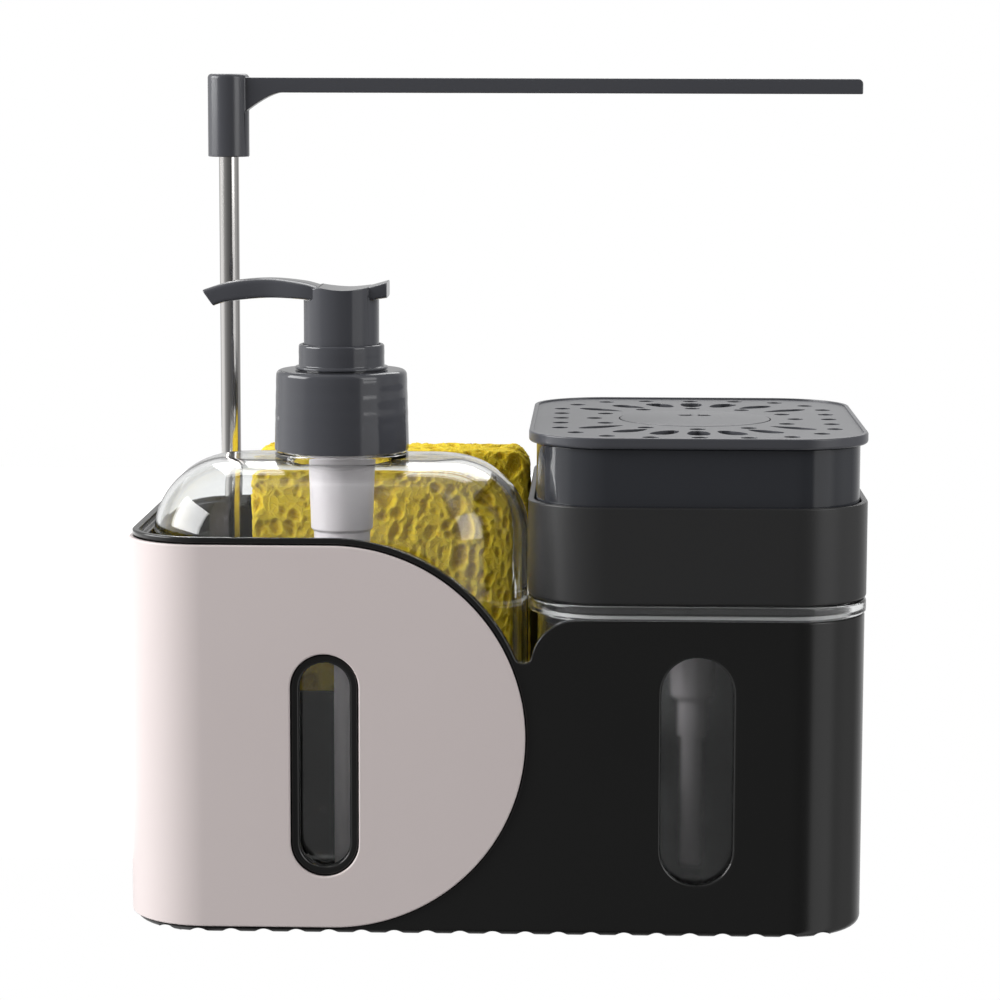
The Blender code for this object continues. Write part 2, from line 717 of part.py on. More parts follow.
def make_pole_and_arm():
    """The steel pole, the bush on its top and the arm that swings on it."""
    foot = FLOOR + 2 * GAP
    inner = POLE_RADIUS - POLE_WALL
    turned(
        "steel_pole", [(POLE_RADIUS, POLE_TOP), (POLE_RADIUS, foot), (inner, foot), (inner, POLE_TOP)],
        POLE_AXIS, STEEL, steps=20,
    )
    bush_bore = POLE_RADIUS + GAP
    bush_radius = bush_bore + BUSH_WALL
    bush_roof = POLE_TOP + GAP
    bush_top = bush_roof + BUSH_TOP
    bush_foot = bush_top - BUSH_LENGTH
    turned(
        "pole_bush",
        [(0, bush_top), (bush_radius, bush_top), (bush_radius, bush_foot), (bush_bore, bush_foot),
         (bush_bore, bush_roof), (0, bush_roof)],
        POLE_AXIS, MILKY, closed=False, steps=20,
    )
    head_round = HEAD_RADIUS / 6
    head = [(0, HEAD_TOP)]
    head += [(r, z) for r, z in arc((HEAD_RADIUS - head_round, HEAD_TOP - head_round), head_round, 90, 0, 3)]
    head += [(HEAD_RADIUS, HEAD_BOTTOM), (0, HEAD_BOTTOM)]
    arm = turned("towel_arm", head, POLE_AXIS, SLATE, closed=False, steps=24)
    low = ARM_TOP - ARM_HEIGHT
    tip = ARM_HEIGHT / 3
    foot_x = HEAD_RADIUS - RAIL_BITE + GUSSET_RUN
    rail = [(0, ARM_TOP)]
    rail += arc((ARM_LENGTH - tip, ARM_TOP - tip), tip, 90, 0, 3)
    rail += [(ARM_LENGTH, low)]
    for i in range(CORNER_STEPS + 1):
        t = i / CORNER_STEPS
        rail.append((foot_x - GUSSET_RUN * t, low - GUSSET_DROP * t ** GUSSET_CURVE))
    rail += [(0, low - GUSSET_DROP)]
    bar = outline("arm_rail", rail, -ARM_DEPTH / 2, ARM_DEPTH / 2, parent=POLE_AXIS)
    combine(arm, bar, "UNION")
    bore = bush_radius + GAP
    roof = bush_top + GAP
    hole = turned(
        "arm_bore", [(0, roof), (bore, roof), (bore, HEAD_BOTTOM - BEYOND), (0, HEAD_BOTTOM - BEYOND)],
        POLE_AXIS, closed=False, steps=24,
    )
    combine(arm, hole)


def make_left_bottle():
    """The clear loaf-shaped bottle with a round neck."""
    half_width = LEFT_BOTTLE_WIDTH / 2
    half_depth = LEFT_BOTTLE_DEPTH / 2
    bottle = block(
        "left_bottle", (-half_width, half_width), (-half_depth, half_depth), (BOTTLE_BOTTOM, LEFT_BOTTLE_TOP),
        parent=LEFT_AXIS, finish=CLEAR, corner=LEFT_BOTTLE_CORNER, top=LEFT_SHOULDER, foot=BOTTLE_FOOT_ROUND,
        steps=7,
    )
    ring_top = LEFT_BOTTLE_TOP + NECK_RING_HEIGHT
    inside = LEFT_BOTTLE_TOP - BOTTLE_WALL / 2
    neck = turned(
        "bottle_neck",
        [(0, NECK_TOP), (NECK_RADIUS, NECK_TOP), (NECK_RADIUS, ring_top), (NECK_RING_RADIUS, ring_top),
         (NECK_RING_RADIUS, inside), (0, inside)],
        LEFT_AXIS, closed=False,
    )
    combine(bottle, neck, "UNION")
    hollow = block(
        "bottle_hollow", (-half_width + BOTTLE_WALL, half_width - BOTTLE_WALL),
        (-half_depth + BOTTLE_WALL, half_depth - BOTTLE_WALL),
        (BOTTLE_BOTTOM + BOTTLE_FLOOR, LEFT_BOTTLE_TOP - BOTTLE_WALL),
        parent=LEFT_AXIS, corner=LEFT_BOTTLE_CORNER - BOTTLE_WALL, top=LEFT_SHOULDER - BOTTLE_WALL,
        foot=BOTTLE_FOOT_ROUND - BOTTLE_WALL, steps=7,
    )
    combine(bottle, hollow)
    bore = NECK_RADIUS - NECK_WALL
    low = LEFT_BOTTLE_TOP - 2 * BOTTLE_WALL
    mouth = turned(
        "bottle_mouth", [(0, HIGH + BEYOND), (bore, HIGH + BEYOND), (bore, low), (0, low)],
        LEFT_AXIS, closed=False,
    )
    combine(bottle, mouth)


def make_pump():
    """The lotion pump: gasket, housing, guide ring, closure, rod, seal, valve balls, spring and tube."""
    neck_bore = NECK_RADIUS - NECK_WALL
    gasket_low = NECK_TOP + GAP
    gasket_high = gasket_low + GASKET
    flange_low = gasket_high + GAP
    flange_high = flange_low + FLANGE
    flange_radius = NECK_RADIUS - GAP
    turned(
        "neck_gasket",
        [(flange_radius, gasket_high), (flange_radius, gasket_low), (neck_bore, gasket_low),
         (neck_bore, gasket_high)],
        LEFT_AXIS, SEAL_RUBBER,
    )

    cup_radius = GUIDE_RADIUS - GAP
    cup_bore = GUIDE_RADIUS - GUIDE_WALL
    skirt_foot = GUIDE_TOP - HEAD_SKIRT_ENGAGED
    cup_floor = skirt_foot - PUMP_STROKE - GAP
    cup_bottom = cup_floor - GUIDE_FLOOR
    ring_low = flange_high + GAP
    ring_high = ring_low + FLANGE
    closure_roof = ring_high + GAP
    closure_top = closure_roof + CLOSURE_WALL
    lip_low = closure_top + GAP
    lip_high = lip_low + GUIDE_LIP_HEIGHT
    rod_hole = ROD_RADIUS + GAP
    turned(
        "guide_ring",
        [(GUIDE_RADIUS, GUIDE_TOP), (GUIDE_RADIUS, lip_high), (GUIDE_RADIUS + GUIDE_LIP, lip_high),
         (GUIDE_RADIUS + GUIDE_LIP, lip_low), (cup_radius, lip_low), (cup_radius, ring_high),
         (flange_radius - RING_INSET, ring_high), (flange_radius - RING_INSET, ring_low),
         (cup_radius, ring_low), (cup_radius, cup_bottom), (rod_hole, cup_bottom), (rod_hole, cup_floor),
         (cup_bore, cup_floor), (cup_bore, GUIDE_TOP)],
        LEFT_AXIS, SLATE,
    )

    top_radius = CLOSURE_RADIUS - CLOSURE_DRAFT
    inner = CLOSURE_RADIUS - CLOSURE_WALL
    hole = cup_radius + SLIDE_GAP
    turned(
        "pump_closure",
        [(top_radius - CLOSURE_ROUND, closure_top), (top_radius, closure_top - CLOSURE_ROUND),
         (CLOSURE_RADIUS, CLOSURE_BOTTOM), (inner, CLOSURE_BOTTOM), (inner, closure_roof),
         (hole, closure_roof), (hole, closure_top)],
        LEFT_AXIS, SLATE,
    )

    body_radius = neck_bore - SLIDE_GAP
    wide_bore = cup_radius + GAP
    ledge = cup_bottom - GAP
    cylinder_radius = CYLINDER_BORE + CYLINDER_WALL
    tail_radius = TUBE_RADIUS + GAP + 2 * CYLINDER_WALL
    tail_top = CYLINDER_BOTTOM - VALVE_CAGE
    seat = tail_top - GAP
    tube_top = seat - VALVE_SEAT
    tail_bottom = tube_top - TUBE_SOCKET
    tube_bore = TUBE_RADIUS + GAP
    below_neck = LEFT_BOTTLE_TOP - GAP
    turned(
        "pump_housing",
        [(flange_radius, flange_high), (flange_radius, flange_low), (body_radius, flange_low),
         (body_radius, LEFT_BOTTLE_TOP + VALVE_CAGE), (HOUSING_NECK_RADIUS, below_neck),
         (cylinder_radius + CYLINDER_WALL, HOUSING_STEP_Z), (cylinder_radius, HOUSING_STEP_Z - CYLINDER_WALL),
         (cylinder_radius, CYLINDER_BOTTOM - CYLINDER_WALL), (tail_radius, tail_top),
         (tail_radius, tail_bottom), (tube_bore, tail_bottom), (tube_bore, tube_top), (VALVE_BORE, tube_top),
         (VALVE_BORE, seat), (BALL_RADIUS + SLIDE_GAP, seat), (BALL_RADIUS + SLIDE_GAP, CYLINDER_BOTTOM),
         (CYLINDER_BORE, CYLINDER_BOTTOM), (CYLINDER_BORE, ledge - HOUSING_CONE), (wide_bore, ledge),
         (wide_bore, flange_high)],
        LEFT_AXIS, MILKY, steps=20,
    )
    ball("inlet_ball", BALL_RADIUS, seat + seat_height(BALL_RADIUS, VALVE_BORE), LEFT_AXIS)
    tube_foot = BOTTLE_BOTTOM + BOTTLE_FLOOR + TUBE_END_GAP
    tube_high = tube_top - GAP
    tube_inner = TUBE_RADIUS - TUBE_WALL
    turned(
        "dip_tube",
        [(TUBE_RADIUS, tube_high), (TUBE_RADIUS, tube_foot), (tube_inner, tube_foot),
         (tube_inner, tube_high)],
        LEFT_AXIS, MILKY, steps=HIDDEN_STEPS,
    )

    socket_roof = HEAD_BASE_Z - 2 * HEAD_ROOF
    rod_top = socket_roof - GAP
    cage_bore = OUTLET_BALL_RADIUS + GAP
    cage_floor = rod_top - VALVE_CAGE
    rod_flange = ROD_BOTTOM + FLANGE
    flange_reach = CYLINDER_BORE - ROD_FLANGE_PLAY
    turned(
        "piston_rod",
        [(ROD_RADIUS, rod_top), (ROD_RADIUS, rod_flange), (flange_reach, rod_flange),
         (flange_reach, ROD_BOTTOM), (ROD_BORE, ROD_BOTTOM), (ROD_BORE, cage_floor), (cage_bore, cage_floor),
         (cage_bore, rod_top)],
        LEFT_AXIS, MILKY, steps=HIDDEN_STEPS,
    )
    ball("outlet_ball", OUTLET_BALL_RADIUS, cage_floor + seat_height(OUTLET_BALL_RADIUS, ROD_BORE), LEFT_AXIS)
    seal_foot = rod_flange + GAP
    seal_top = seal_foot + SEAL_LENGTH
    seal_radius = CYLINDER_BORE - GAP
    seal_waist = CYLINDER_BORE - 2 * CYLINDER_WALL
    turned(
        "piston_seal",
        [(seal_radius, seal_top), (seal_waist, seal_top - SEAL_LIP), (seal_waist, seal_foot + SEAL_LIP),
         (seal_radius, seal_foot), (rod_hole, seal_foot), (rod_hole, seal_top)],
        LEFT_AXIS, SEAL_RUBBER, steps=20,
    )
    coil_spring(
        "pump_spring", CYLINDER_BOTTOM + GAP, ROD_BOTTOM - GAP, SPRING_RADIUS, SPRING_WIRE, SPRING_CURLS,
        LEFT_AXIS,
    )
    make_pump_head(skirt_foot, socket_roof, rod_hole)


def smooth_through(stations, count):
    """Evenly spaced rows through a short list of stations, on a smooth curve."""
    rows = []
    last = len(stations) - 1
    for i in range(count + 1):
        spot = i * last / count
        k = min(int(spot), last - 1)
        t = spot - k
        a, b, c, d = (stations[max(0, min(last, k + n))] for n in (-1, 0, 1, 2))
        row = []
        for p, q, r, s in zip(a, b, c, d):
            row.append(q + t / 2 * (r - p + t * (2 * p - 5 * q + 4 * r - s + t * (3 * (q - r) + s - p))))
        rows.append(row)
    return rows


def nozzle_rows():
    """Rows along the head, from the nozzle's tip to the thumb end: place, top, underside, half width."""
    stations = [
        (x, HEAD_BASE_Z + rise, HEAD_BASE_Z + rise - height, half) for x, rise, height, half in SPOUT_STATIONS
    ]
    return smooth_through(stations, SPOUT_ROWS)


def make_pump_head(skirt_foot, socket_roof, rod_hole):
    """The pump head: a round skirt with the rod's socket, and the curved spout with a thumb saddle."""
    skirt_bore = HEAD_SKIRT_RADIUS - HEAD_SKIRT_WALL
    socket_radius = rod_hole + HEAD_SKIRT_WALL
    roof = HEAD_BASE_Z - HEAD_ROOF
    shoulder = HEAD_BASE_Z + HEAD_SHOULDER
    head = turned(
        "pump_head",
        [(0, shoulder), (HEAD_SKIRT_RADIUS, shoulder), (HEAD_SKIRT_RADIUS, skirt_foot),
         (skirt_bore, skirt_foot), (skirt_bore, roof), (socket_radius, roof),
         (socket_radius, skirt_foot + FLANGE),
         (rod_hole, skirt_foot + FLANGE), (rod_hole, socket_roof), (0, socket_roof)],
        LEFT_AXIS, SLATE, closed=False,
    )
    shape = bmesh.new()
    rings = []
    for x, top, low, half in nozzle_rows():
        ring = []
        for i in range(SPOUT_AROUND):
            turn = 2 * math.pi * i / SPOUT_AROUND
            across = math.copysign(abs(math.cos(turn)) ** 0.7, math.cos(turn))
            up = math.copysign(abs(math.sin(turn)) ** 0.8, math.sin(turn))
            slant = 0 if rings else NOZZLE_SLANT * (1 - up) / 2
            ring.append(shape.verts.new((x + slant, half * across, (top + low) / 2 + (top - low) / 2 * up)))
        rings.append(ring)
    for ring, following in zip(rings, rings[1:]):
        for i in range(SPOUT_AROUND):
            j = (i + 1) % SPOUT_AROUND
            shape.faces.new((ring[i], ring[j], following[j], following[i]))
    shape.faces.new(rings[0])
    shape.faces.new(rings[-1])
    bmesh.ops.recalc_face_normals(shape, faces=shape.faces)
    mesh = bpy.data.meshes.new("spout")
    shape.to_mesh(mesh)
    shape.free()
    smooth(mesh)
    combine(head, place(mesh, "spout", LEFT_AXIS, None), "UNION")
    middle = [(x, 0, (top + low) / 2) for x, top, low, half in nozzle_rows() if x < -NOZZLE_BORE]
    middle[0] = (middle[0][0] - THUMB_REACH / 4, 0, middle[0][2])
    turned_down = [(0, 0, HEAD_BASE_Z), (0, 0, socket_roof - FLANGE)]
    combine(head, tube_along("spout_channel", middle + turned_down, NOZZLE_BORE, LEFT_AXIS))


def make_right_bottle():
    """The clear open-topped bottle whose flange rests on the caddy's right walls."""
    half_width = RIGHT_UNIT_WIDTH / 2
    flange_low = RIGHT_WALL_Z + GAP
    flange_high = flange_low + RIGHT_FLANGE
    bottle = block(
        "right_bottle", (-half_width, half_width), (-HALF_DEPTH, HALF_DEPTH), (flange_low, flange_high),
        parent=RIGHT_AXIS, finish=CLEAR, corner=RIGHT_CORNER, top=EDGE_ROUND, foot=EDGE_ROUND,
    )
    body_x, body_y, corner = right_body(SLIDE_GAP)
    tub = block(
        "bottle_tub", body_x, body_y, (BOTTLE_BOTTOM, flange_low + RIGHT_FLANGE / 2),
        parent=RIGHT_AXIS, corner=corner, foot=BOTTLE_FOOT_ROUND,
    )
    combine(bottle, tub, "UNION")
    body_x, body_y, corner = right_body(SLIDE_GAP + BOTTLE_WALL)
    hollow = block(
        "right_bottle_hollow", body_x, body_y, (BOTTLE_BOTTOM + RIGHT_BOTTLE_FLOOR, HIGH),
        parent=RIGHT_AXIS, corner=corner, foot=BOTTLE_FOOT_ROUND - BOTTLE_WALL,
    )
    combine(bottle, hollow)
    return flange_high


def right_body(inset):
    """Limits about the plate pump's axis, and corner, of what fits in the right bay at an inset."""
    left = RIGHT_BAY_LEFT - RIGHT_X + inset
    right = HALF_WIDTH - RIGHT_WALL - RIGHT_X - inset
    side = FRONT_BACK - RIGHT_WALL - inset
    corner = CADDY_CORNER - BORDER_PROUD - RIGHT_WALL - inset
    return (left, right), (-side, side), corner


def make_collar(flange_high):
    """The black collar box with its floor, its plug in the bottle's mouth and the plug's seal."""
    low = flange_high + GAP
    floor_low = low + COLLAR_FLOOR_RISE
    floor_high = floor_low + COLLAR_FLOOR
    half_width = RIGHT_UNIT_WIDTH / 2
    collar = block(
        "drip_collar", (-half_width, half_width), (-HALF_DEPTH, HALF_DEPTH), (low, COLLAR_TOP),
        parent=RIGHT_AXIS, finish=BLACK_SATIN, corner=RIGHT_CORNER, foot=EDGE_ROUND,
    )
    mouth = SLIDE_GAP + BOTTLE_WALL
    plug_low = low - PLUG_DROP
    plug_x, plug_y, corner = right_body(mouth + SLIDE_GAP)
    plug = block("collar_plug", plug_x, plug_y, (plug_low, floor_low + GAP), parent=RIGHT_AXIS, corner=corner)
    combine(collar, plug, "UNION")
    under_x, under_y, corner = right_body(mouth + SLIDE_GAP + PLUG_WALL)
    under = block(
        "collar_underside", under_x, under_y, (plug_low - BEYOND, floor_low), parent=RIGHT_AXIS,
        corner=corner,
    )
    combine(collar, under)
    inner_x = half_width - COLLAR_WALL
    inner_y = HALF_DEPTH - COLLAR_WALL
    well = block(
        "collar_well", (-inner_x, inner_x), (-inner_y, inner_y), (floor_high, HIGH), parent=RIGHT_AXIS,
        corner=RIGHT_CORNER - COLLAR_WALL,
    )
    combine(collar, well)
    hole = turned(
        "collar_hole",
        [(0, HIGH), (PLATE_HOUSING_RADIUS + GAP, HIGH), (PLATE_HOUSING_RADIUS + GAP, 0), (0, 0)],
        RIGHT_AXIS, closed=False, steps=20,
    )
    combine(collar, hole)

    seal_low = plug_low + SEAL_HEIGHT
    seal_high = seal_low + SEAL_HEIGHT
    groove_back = mouth + SLIDE_GAP + SEAL_GROOVE
    groove = ring_block("seal_groove", SLIDE_GAP, groove_back, seal_low - GAP, seal_high + GAP)
    combine(collar, groove)
    ring_block("collar_seal", mouth + GAP, groove_back - GAP, seal_low, seal_high, SEAL_RUBBER)
    return floor_low, floor_high


def ring_block(name, outer_inset, inner_inset, low, high, finish=None):
    """A rounded rectangular ring that follows the right bay's walls at two insets."""
    outer_x, outer_y, corner = right_body(outer_inset)
    ring = block(name, outer_x, outer_y, (low, high), parent=RIGHT_AXIS, finish=finish, corner=corner)
    inner_x, inner_y, corner = right_body(inner_inset)
    hollow = block(
        name + "_hollow", inner_x, inner_y, (low - BEYOND, high + BEYOND), parent=RIGHT_AXIS, corner=corner,
    )
    return combine(ring, hollow)


def leaf(start, end, width):
    """A drop-shaped slot between two points, wider towards its outer end, drawn in X and Y."""
    length = math.dist(start, end)
    along = ((end[0] - start[0]) / length, (end[1] - start[1]) / length)
    steps = 5
    points = []
    for side in (1, -1):
        for i in range(steps):
            t = i / steps if side > 0 else 1 - i / steps
            bulge = side * width / 2 * math.sin(math.pi * t ** 1.3) ** 0.6
            x = start[0] + along[0] * length * t - along[1] * bulge
            y = start[1] + along[1] * length * t + along[0] * bulge
            points.append((x, y))
    return points


def polar(radius, angle):
    """A point at a radius and an angle in degrees."""
    return radius * math.cos(math.radians(angle)), radius * math.sin(math.radians(angle))


def mirrored(points):
    """The same points on all four quarters of the plate, each place once."""
    places = {(round(sx * x, 6), round(sy * y, 6)) for x, y in points for sx in (1, -1) for sy in (1, -1)}
    return sorted(places)


def plate_openings(low, high):
    """The plate's round holes in two rings and its leaf-shaped slots between them."""
    side_x = PLATE_HALF - HOLE_INSET
    end_y = HALF_DEPTH - HOLE_INSET
    quarter = [(side_x, i * SIDE_PITCH) for i in range(3)]
    quarter += [(side_x - CORNER_SIDE_STEP, HALF_DEPTH - CORNER_SIDE_INSET)]
    quarter += [(CORNER_END_X, end_y - CORNER_END_STEP), (END_PITCH, end_y), (0, end_y)]
    quarter += [polar(DOME_RADIUS + RING_OFFSET, angle) for angle in RING_ANGLES]
    shape = bmesh.new()
    for x, y in mirrored(quarter):
        bmesh.ops.create_cone(
            shape, cap_ends=True, segments=8, radius1=HOLE_RADIUS, radius2=HOLE_RADIUS, depth=high - low,
            matrix=Matrix.Translation((x, y, (low + high) / 2)),
        )
    mesh = bpy.data.meshes.new("plate_holes")
    shape.to_mesh(mesh)
    shape.free()
    made = [place(mesh, "plate_holes", RIGHT_AXIS, None)]
    for (offset, angle), end_angle in zip(LEAF_STARTS, LEAF_ENDS):
        start = polar(DOME_RADIUS + offset, angle)
        across, along = polar(1, end_angle)
        end = ((PLATE_HALF - LEAF_SIDE_INSET) * across, (HALF_DEPTH - LEAF_END_INSET) * along)
        for sx, sy in mirrored([(1, 1)]):
            if angle == 90 and sx < 0:
                continue
            points = leaf((sx * start[0], sy * start[1]), (sx * end[0], sy * end[1]), LEAF_WIDTH)
            name = f"leaf_{angle}_{sx}_{sy}"
            made.append(outline(name, points, low, high, upright=False, parent=RIGHT_AXIS))
    return made


def make_press_top():
    """The press plate, its skirt with the drip tray, the outlet dome and the stem."""
    plate_top = PLATE_BOTTOM + PLATE_THICKNESS
    plate = block(
        "press_plate", (-PLATE_HALF, PLATE_HALF), (-HALF_DEPTH, HALF_DEPTH), (PLATE_BOTTOM, plate_top),
        parent=RIGHT_AXIS, finish=SLATE, corner=RIGHT_CORNER, top=EDGE_ROUND, foot=EDGE_ROUND,
    )
    for cutter in plate_openings(PLATE_BOTTOM - BEYOND, plate_top + BEYOND):
        combine(plate, cutter)
    seat = DOME_RADIUS + GAP
    hole = turned(
        "dome_hole", [(0, HIGH), (seat, HIGH), (seat, PLATE_BOTTOM - BEYOND), (0, PLATE_BOTTOM - BEYOND)],
        RIGHT_AXIS, closed=False,
    )
    combine(plate, hole)

    skirt_top = PLATE_BOTTOM - GAP
    skirt_low = COLLAR_TOP - SKIRT_ENGAGED
    skirt_x = RIGHT_UNIT_WIDTH / 2 - COLLAR_WALL - SLIDE_GAP
    skirt_y = HALF_DEPTH - COLLAR_WALL - SLIDE_GAP
    corner = RIGHT_CORNER - COLLAR_WALL - SLIDE_GAP
    skirt = block(
        "press_skirt", (-skirt_x, skirt_x), (-skirt_y, skirt_y), (skirt_low, skirt_top),
        parent=RIGHT_AXIS, finish=BLACK_GLOSS, corner=corner,
    )
    tray_top = skirt_top - TRAY_DROP
    tray_low = tray_top - TRAY_FLOOR
    inner_x = skirt_x - SKIRT_WALL
    inner_y = skirt_y - SKIRT_WALL
    for name, low, high in (("tray_well", tray_top, HIGH), ("tray_underside", 0, tray_low)):
        hollow = block(
            name, (-inner_x, inner_x), (-inner_y, inner_y), (low, high), parent=RIGHT_AXIS,
            corner=corner - SKIRT_WALL,
        )
        combine(skirt, hollow)
    socket_bore = STEM_RADIUS + GAP
    socket_radius = socket_bore + STEM_SOCKET_WALL
    spout_bore = socket_radius + GAP
    spout = turned(
        "tray_spout",
        [(0, tray_top + TRAY_SPOUT), (spout_bore + SKIRT_WALL, tray_top + TRAY_SPOUT),
         (spout_bore + SKIRT_WALL, tray_low + GAP), (0, tray_low + GAP)],
        RIGHT_AXIS, closed=False, steps=20,
    )
    combine(skirt, spout, "UNION")
    spout_hole = turned(
        "tray_hole", [(0, HIGH), (spout_bore, HIGH), (spout_bore, 0), (0, 0)], RIGHT_AXIS, closed=False,
        steps=20,
    )
    combine(skirt, spout_hole)

    edge_z = plate_top + DOME_STEP
    flange_top = PLATE_BOTTOM - GAP
    flange_low = flange_top - FLANGE
    flange_radius = DOME_RADIUS + DOME_FLANGE
    crown = (DOME_RADIUS ** 2 + DOME_RISE ** 2) / (2 * DOME_RISE)
    half_angle = math.degrees(math.asin(DOME_RADIUS / crown))
    cap = arc((0, edge_z + DOME_RISE - crown), crown, 90, 90 - half_angle, 5)
    socket_low = flange_low - STEM_SOCKET_DROP
    stem_roof = flange_low
    dome = turned(
        "outlet_dome",
        cap + [(DOME_RADIUS, flange_top), (flange_radius, flange_top), (flange_radius, flange_low),
               (socket_radius, flange_low), (socket_radius, socket_low), (socket_bore, socket_low),
               (socket_bore, stem_roof), (0, stem_roof)],
        RIGHT_AXIS, SLATE, closed=False,
    )
    for cutter in outlet_slots(edge_z + DOME_RISE):
        combine(dome, cutter)
    passage = turned(
        "dome_passage",
        [(0, edge_z), (SLOT_REACH, edge_z), (STEM_BORE, stem_roof - GAP), (0, stem_roof - GAP)],
        RIGHT_AXIS, closed=False, steps=HIDDEN_STEPS,
    )
    combine(dome, passage)
    return stem_roof, tray_low


def outlet_slots(top):
    """Three small outlets in the dome: a short bar at each side and a small arrowhead between them."""
    low = top - DOME_RISE - EDGE_ROUND
    high = top + DOME_RISE
    bar = SLOT_WIDTH / 2
    left = [(-SLOT_REACH, -bar), (-SLOT_START, -bar), (-SLOT_START, bar), (-SLOT_REACH, bar)]
    right = [(-x, y) for x, y in reversed(left)]
    upper = [(ARROW_HALF, ARROW_NEAR + ARROW_WIDTH), (0, ARROW_NEAR + ARROW_WIDTH + ARROW_RISE),
             (-ARROW_HALF, ARROW_NEAR + ARROW_WIDTH)]
    lower = [(-ARROW_HALF, ARROW_NEAR), (0, ARROW_NEAR + ARROW_RISE), (ARROW_HALF, ARROW_NEAR)]
    middle = lower + upper
    shapes = {"outlet_left": left, "outlet_right": right, "outlet_middle": middle}
    return [
        outline(name, points, low, high, upright=False, parent=RIGHT_AXIS) for name, points in shapes.items()
    ]


def make_plate_pump(floor_low, floor_high, stem_roof, tray_low):
    """The pump under the plate: housing, nut, stem guide, stem, piston, ball, spring and tube."""
    flange_low = floor_high + GAP
    flange_high = flange_low + FLANGE
    guide_low = flange_high + GAP
    guide_top = guide_low + STEM_GUIDE_HEIGHT
    stem_hole = STEM_RADIUS + GAP
    nut_high = floor_low - GAP
    nut_low = nut_high - NUT_HEIGHT
    wide_low = nut_low - HOUSING_BELOW_NUT
    wide_bore = PLATE_HOUSING_RADIUS - FLANGE
    spigot = wide_bore - GAP
    spigot_low = floor_low
    cylinder_top = spigot_low - 2 * GAP
    flange_radius = PLATE_HOUSING_RADIUS + PLATE_HOUSING_FLANGE
    tail_radius = PLATE_TUBE_RADIUS + GAP + TUBE_WALL
    tail_bore = PLATE_TUBE_RADIUS + GAP
    seat = PLATE_CYLINDER_BOTTOM - GAP
    tube_top = seat - VALVE_SEAT
    cage_top = PLATE_CYLINDER_BOTTOM + VALVE_CAGE
    turned(
        "plate_pump_housing",
        [(flange_radius, flange_high), (flange_radius, flange_low), (PLATE_HOUSING_RADIUS, flange_low),
         (PLATE_HOUSING_RADIUS, wide_low),
         (PLATE_CYLINDER_RADIUS, wide_low - PLATE_HOUSING_RADIUS + PLATE_CYLINDER_RADIUS),
         (PLATE_CYLINDER_RADIUS, PLATE_CYLINDER_BOTTOM), (tail_radius, PLATE_CYLINDER_BOTTOM - FLANGE),
         (tail_radius, PLATE_TAIL_BOTTOM), (tail_bore, PLATE_TAIL_BOTTOM), (tail_bore, tube_top),
         (VALVE_BORE, tube_top), (VALVE_BORE, seat), (BALL_RADIUS + SLIDE_GAP, seat),
         (BALL_RADIUS + SLIDE_GAP, cage_top), (PLATE_CYLINDER_BORE, cage_top),
         (PLATE_CYLINDER_BORE, cylinder_top), (wide_bore, cylinder_top), (wide_bore, flange_high)],
        RIGHT_AXIS, MILKY, steps=20,
    )
    turned(
        "plate_pump_guide",
        [(STEM_GUIDE_RADIUS, guide_top), (STEM_GUIDE_RADIUS, guide_low), (spigot, guide_low),
         (spigot, spigot_low), (stem_hole, spigot_low), (stem_hole, guide_top)],
        RIGHT_AXIS, MILKY, steps=20,
    )
    nut_bore = PLATE_HOUSING_RADIUS + GAP
    turned(
        "plate_pump_nut",
        [(nut_bore + NUT_WALL, nut_high), (nut_bore + NUT_WALL, nut_low), (nut_bore, nut_low),
         (nut_bore, nut_high)],
        RIGHT_AXIS, MILKY, steps=20,
    )
    ball("plate_inlet_ball", BALL_RADIUS, seat + seat_height(BALL_RADIUS, VALVE_BORE), RIGHT_AXIS)
    tube_foot = BOTTLE_BOTTOM + RIGHT_BOTTLE_FLOOR + TUBE_END_GAP
    tube_high = tube_top - GAP
    tube_inner = PLATE_TUBE_RADIUS - TUBE_WALL
    turned(
        "plate_dip_tube",
        [(PLATE_TUBE_RADIUS, tube_high), (PLATE_TUBE_RADIUS, tube_foot), (tube_inner, tube_foot),
         (tube_inner, tube_high)],
        RIGHT_AXIS, MILKY, steps=HIDDEN_STEPS,
    )
    piston_top = cylinder_top - PISTON_DROP
    piston_low = piston_top - SEAL_LENGTH
    stem_flange = piston_low - GAP
    stem_low = stem_flange - FLANGE
    stem_top = stem_roof - GAP
    stem_reach = PLATE_CYLINDER_BORE - 2 * SLIDE_GAP
    turned(
        "press_stem",
        [(STEM_RADIUS, stem_top), (STEM_RADIUS, stem_flange), (stem_reach, stem_flange),
         (stem_reach, stem_low), (STEM_BORE, stem_low), (STEM_BORE, stem_top)],
        RIGHT_AXIS, MILKY, steps=HIDDEN_STEPS,
    )
    piston_radius = PLATE_CYLINDER_BORE - GAP
    waist = PLATE_CYLINDER_BORE - CYLINDER_WALL
    turned(
        "press_piston",
        [(piston_radius, piston_top), (waist, piston_top - SEAL_LIP), (waist, piston_low + SEAL_LIP),
         (piston_radius, piston_low), (stem_hole, piston_low), (stem_hole, piston_top)],
        RIGHT_AXIS, SEAL_RUBBER, steps=HIDDEN_STEPS,
    )
    coil_spring(
        "plate_pump_spring", guide_top + GAP, tray_low - GAP, PLATE_SPRING_RADIUS, PLATE_SPRING_WIRE,
        PLATE_SPRING_CURLS, RIGHT_AXIS,
    )


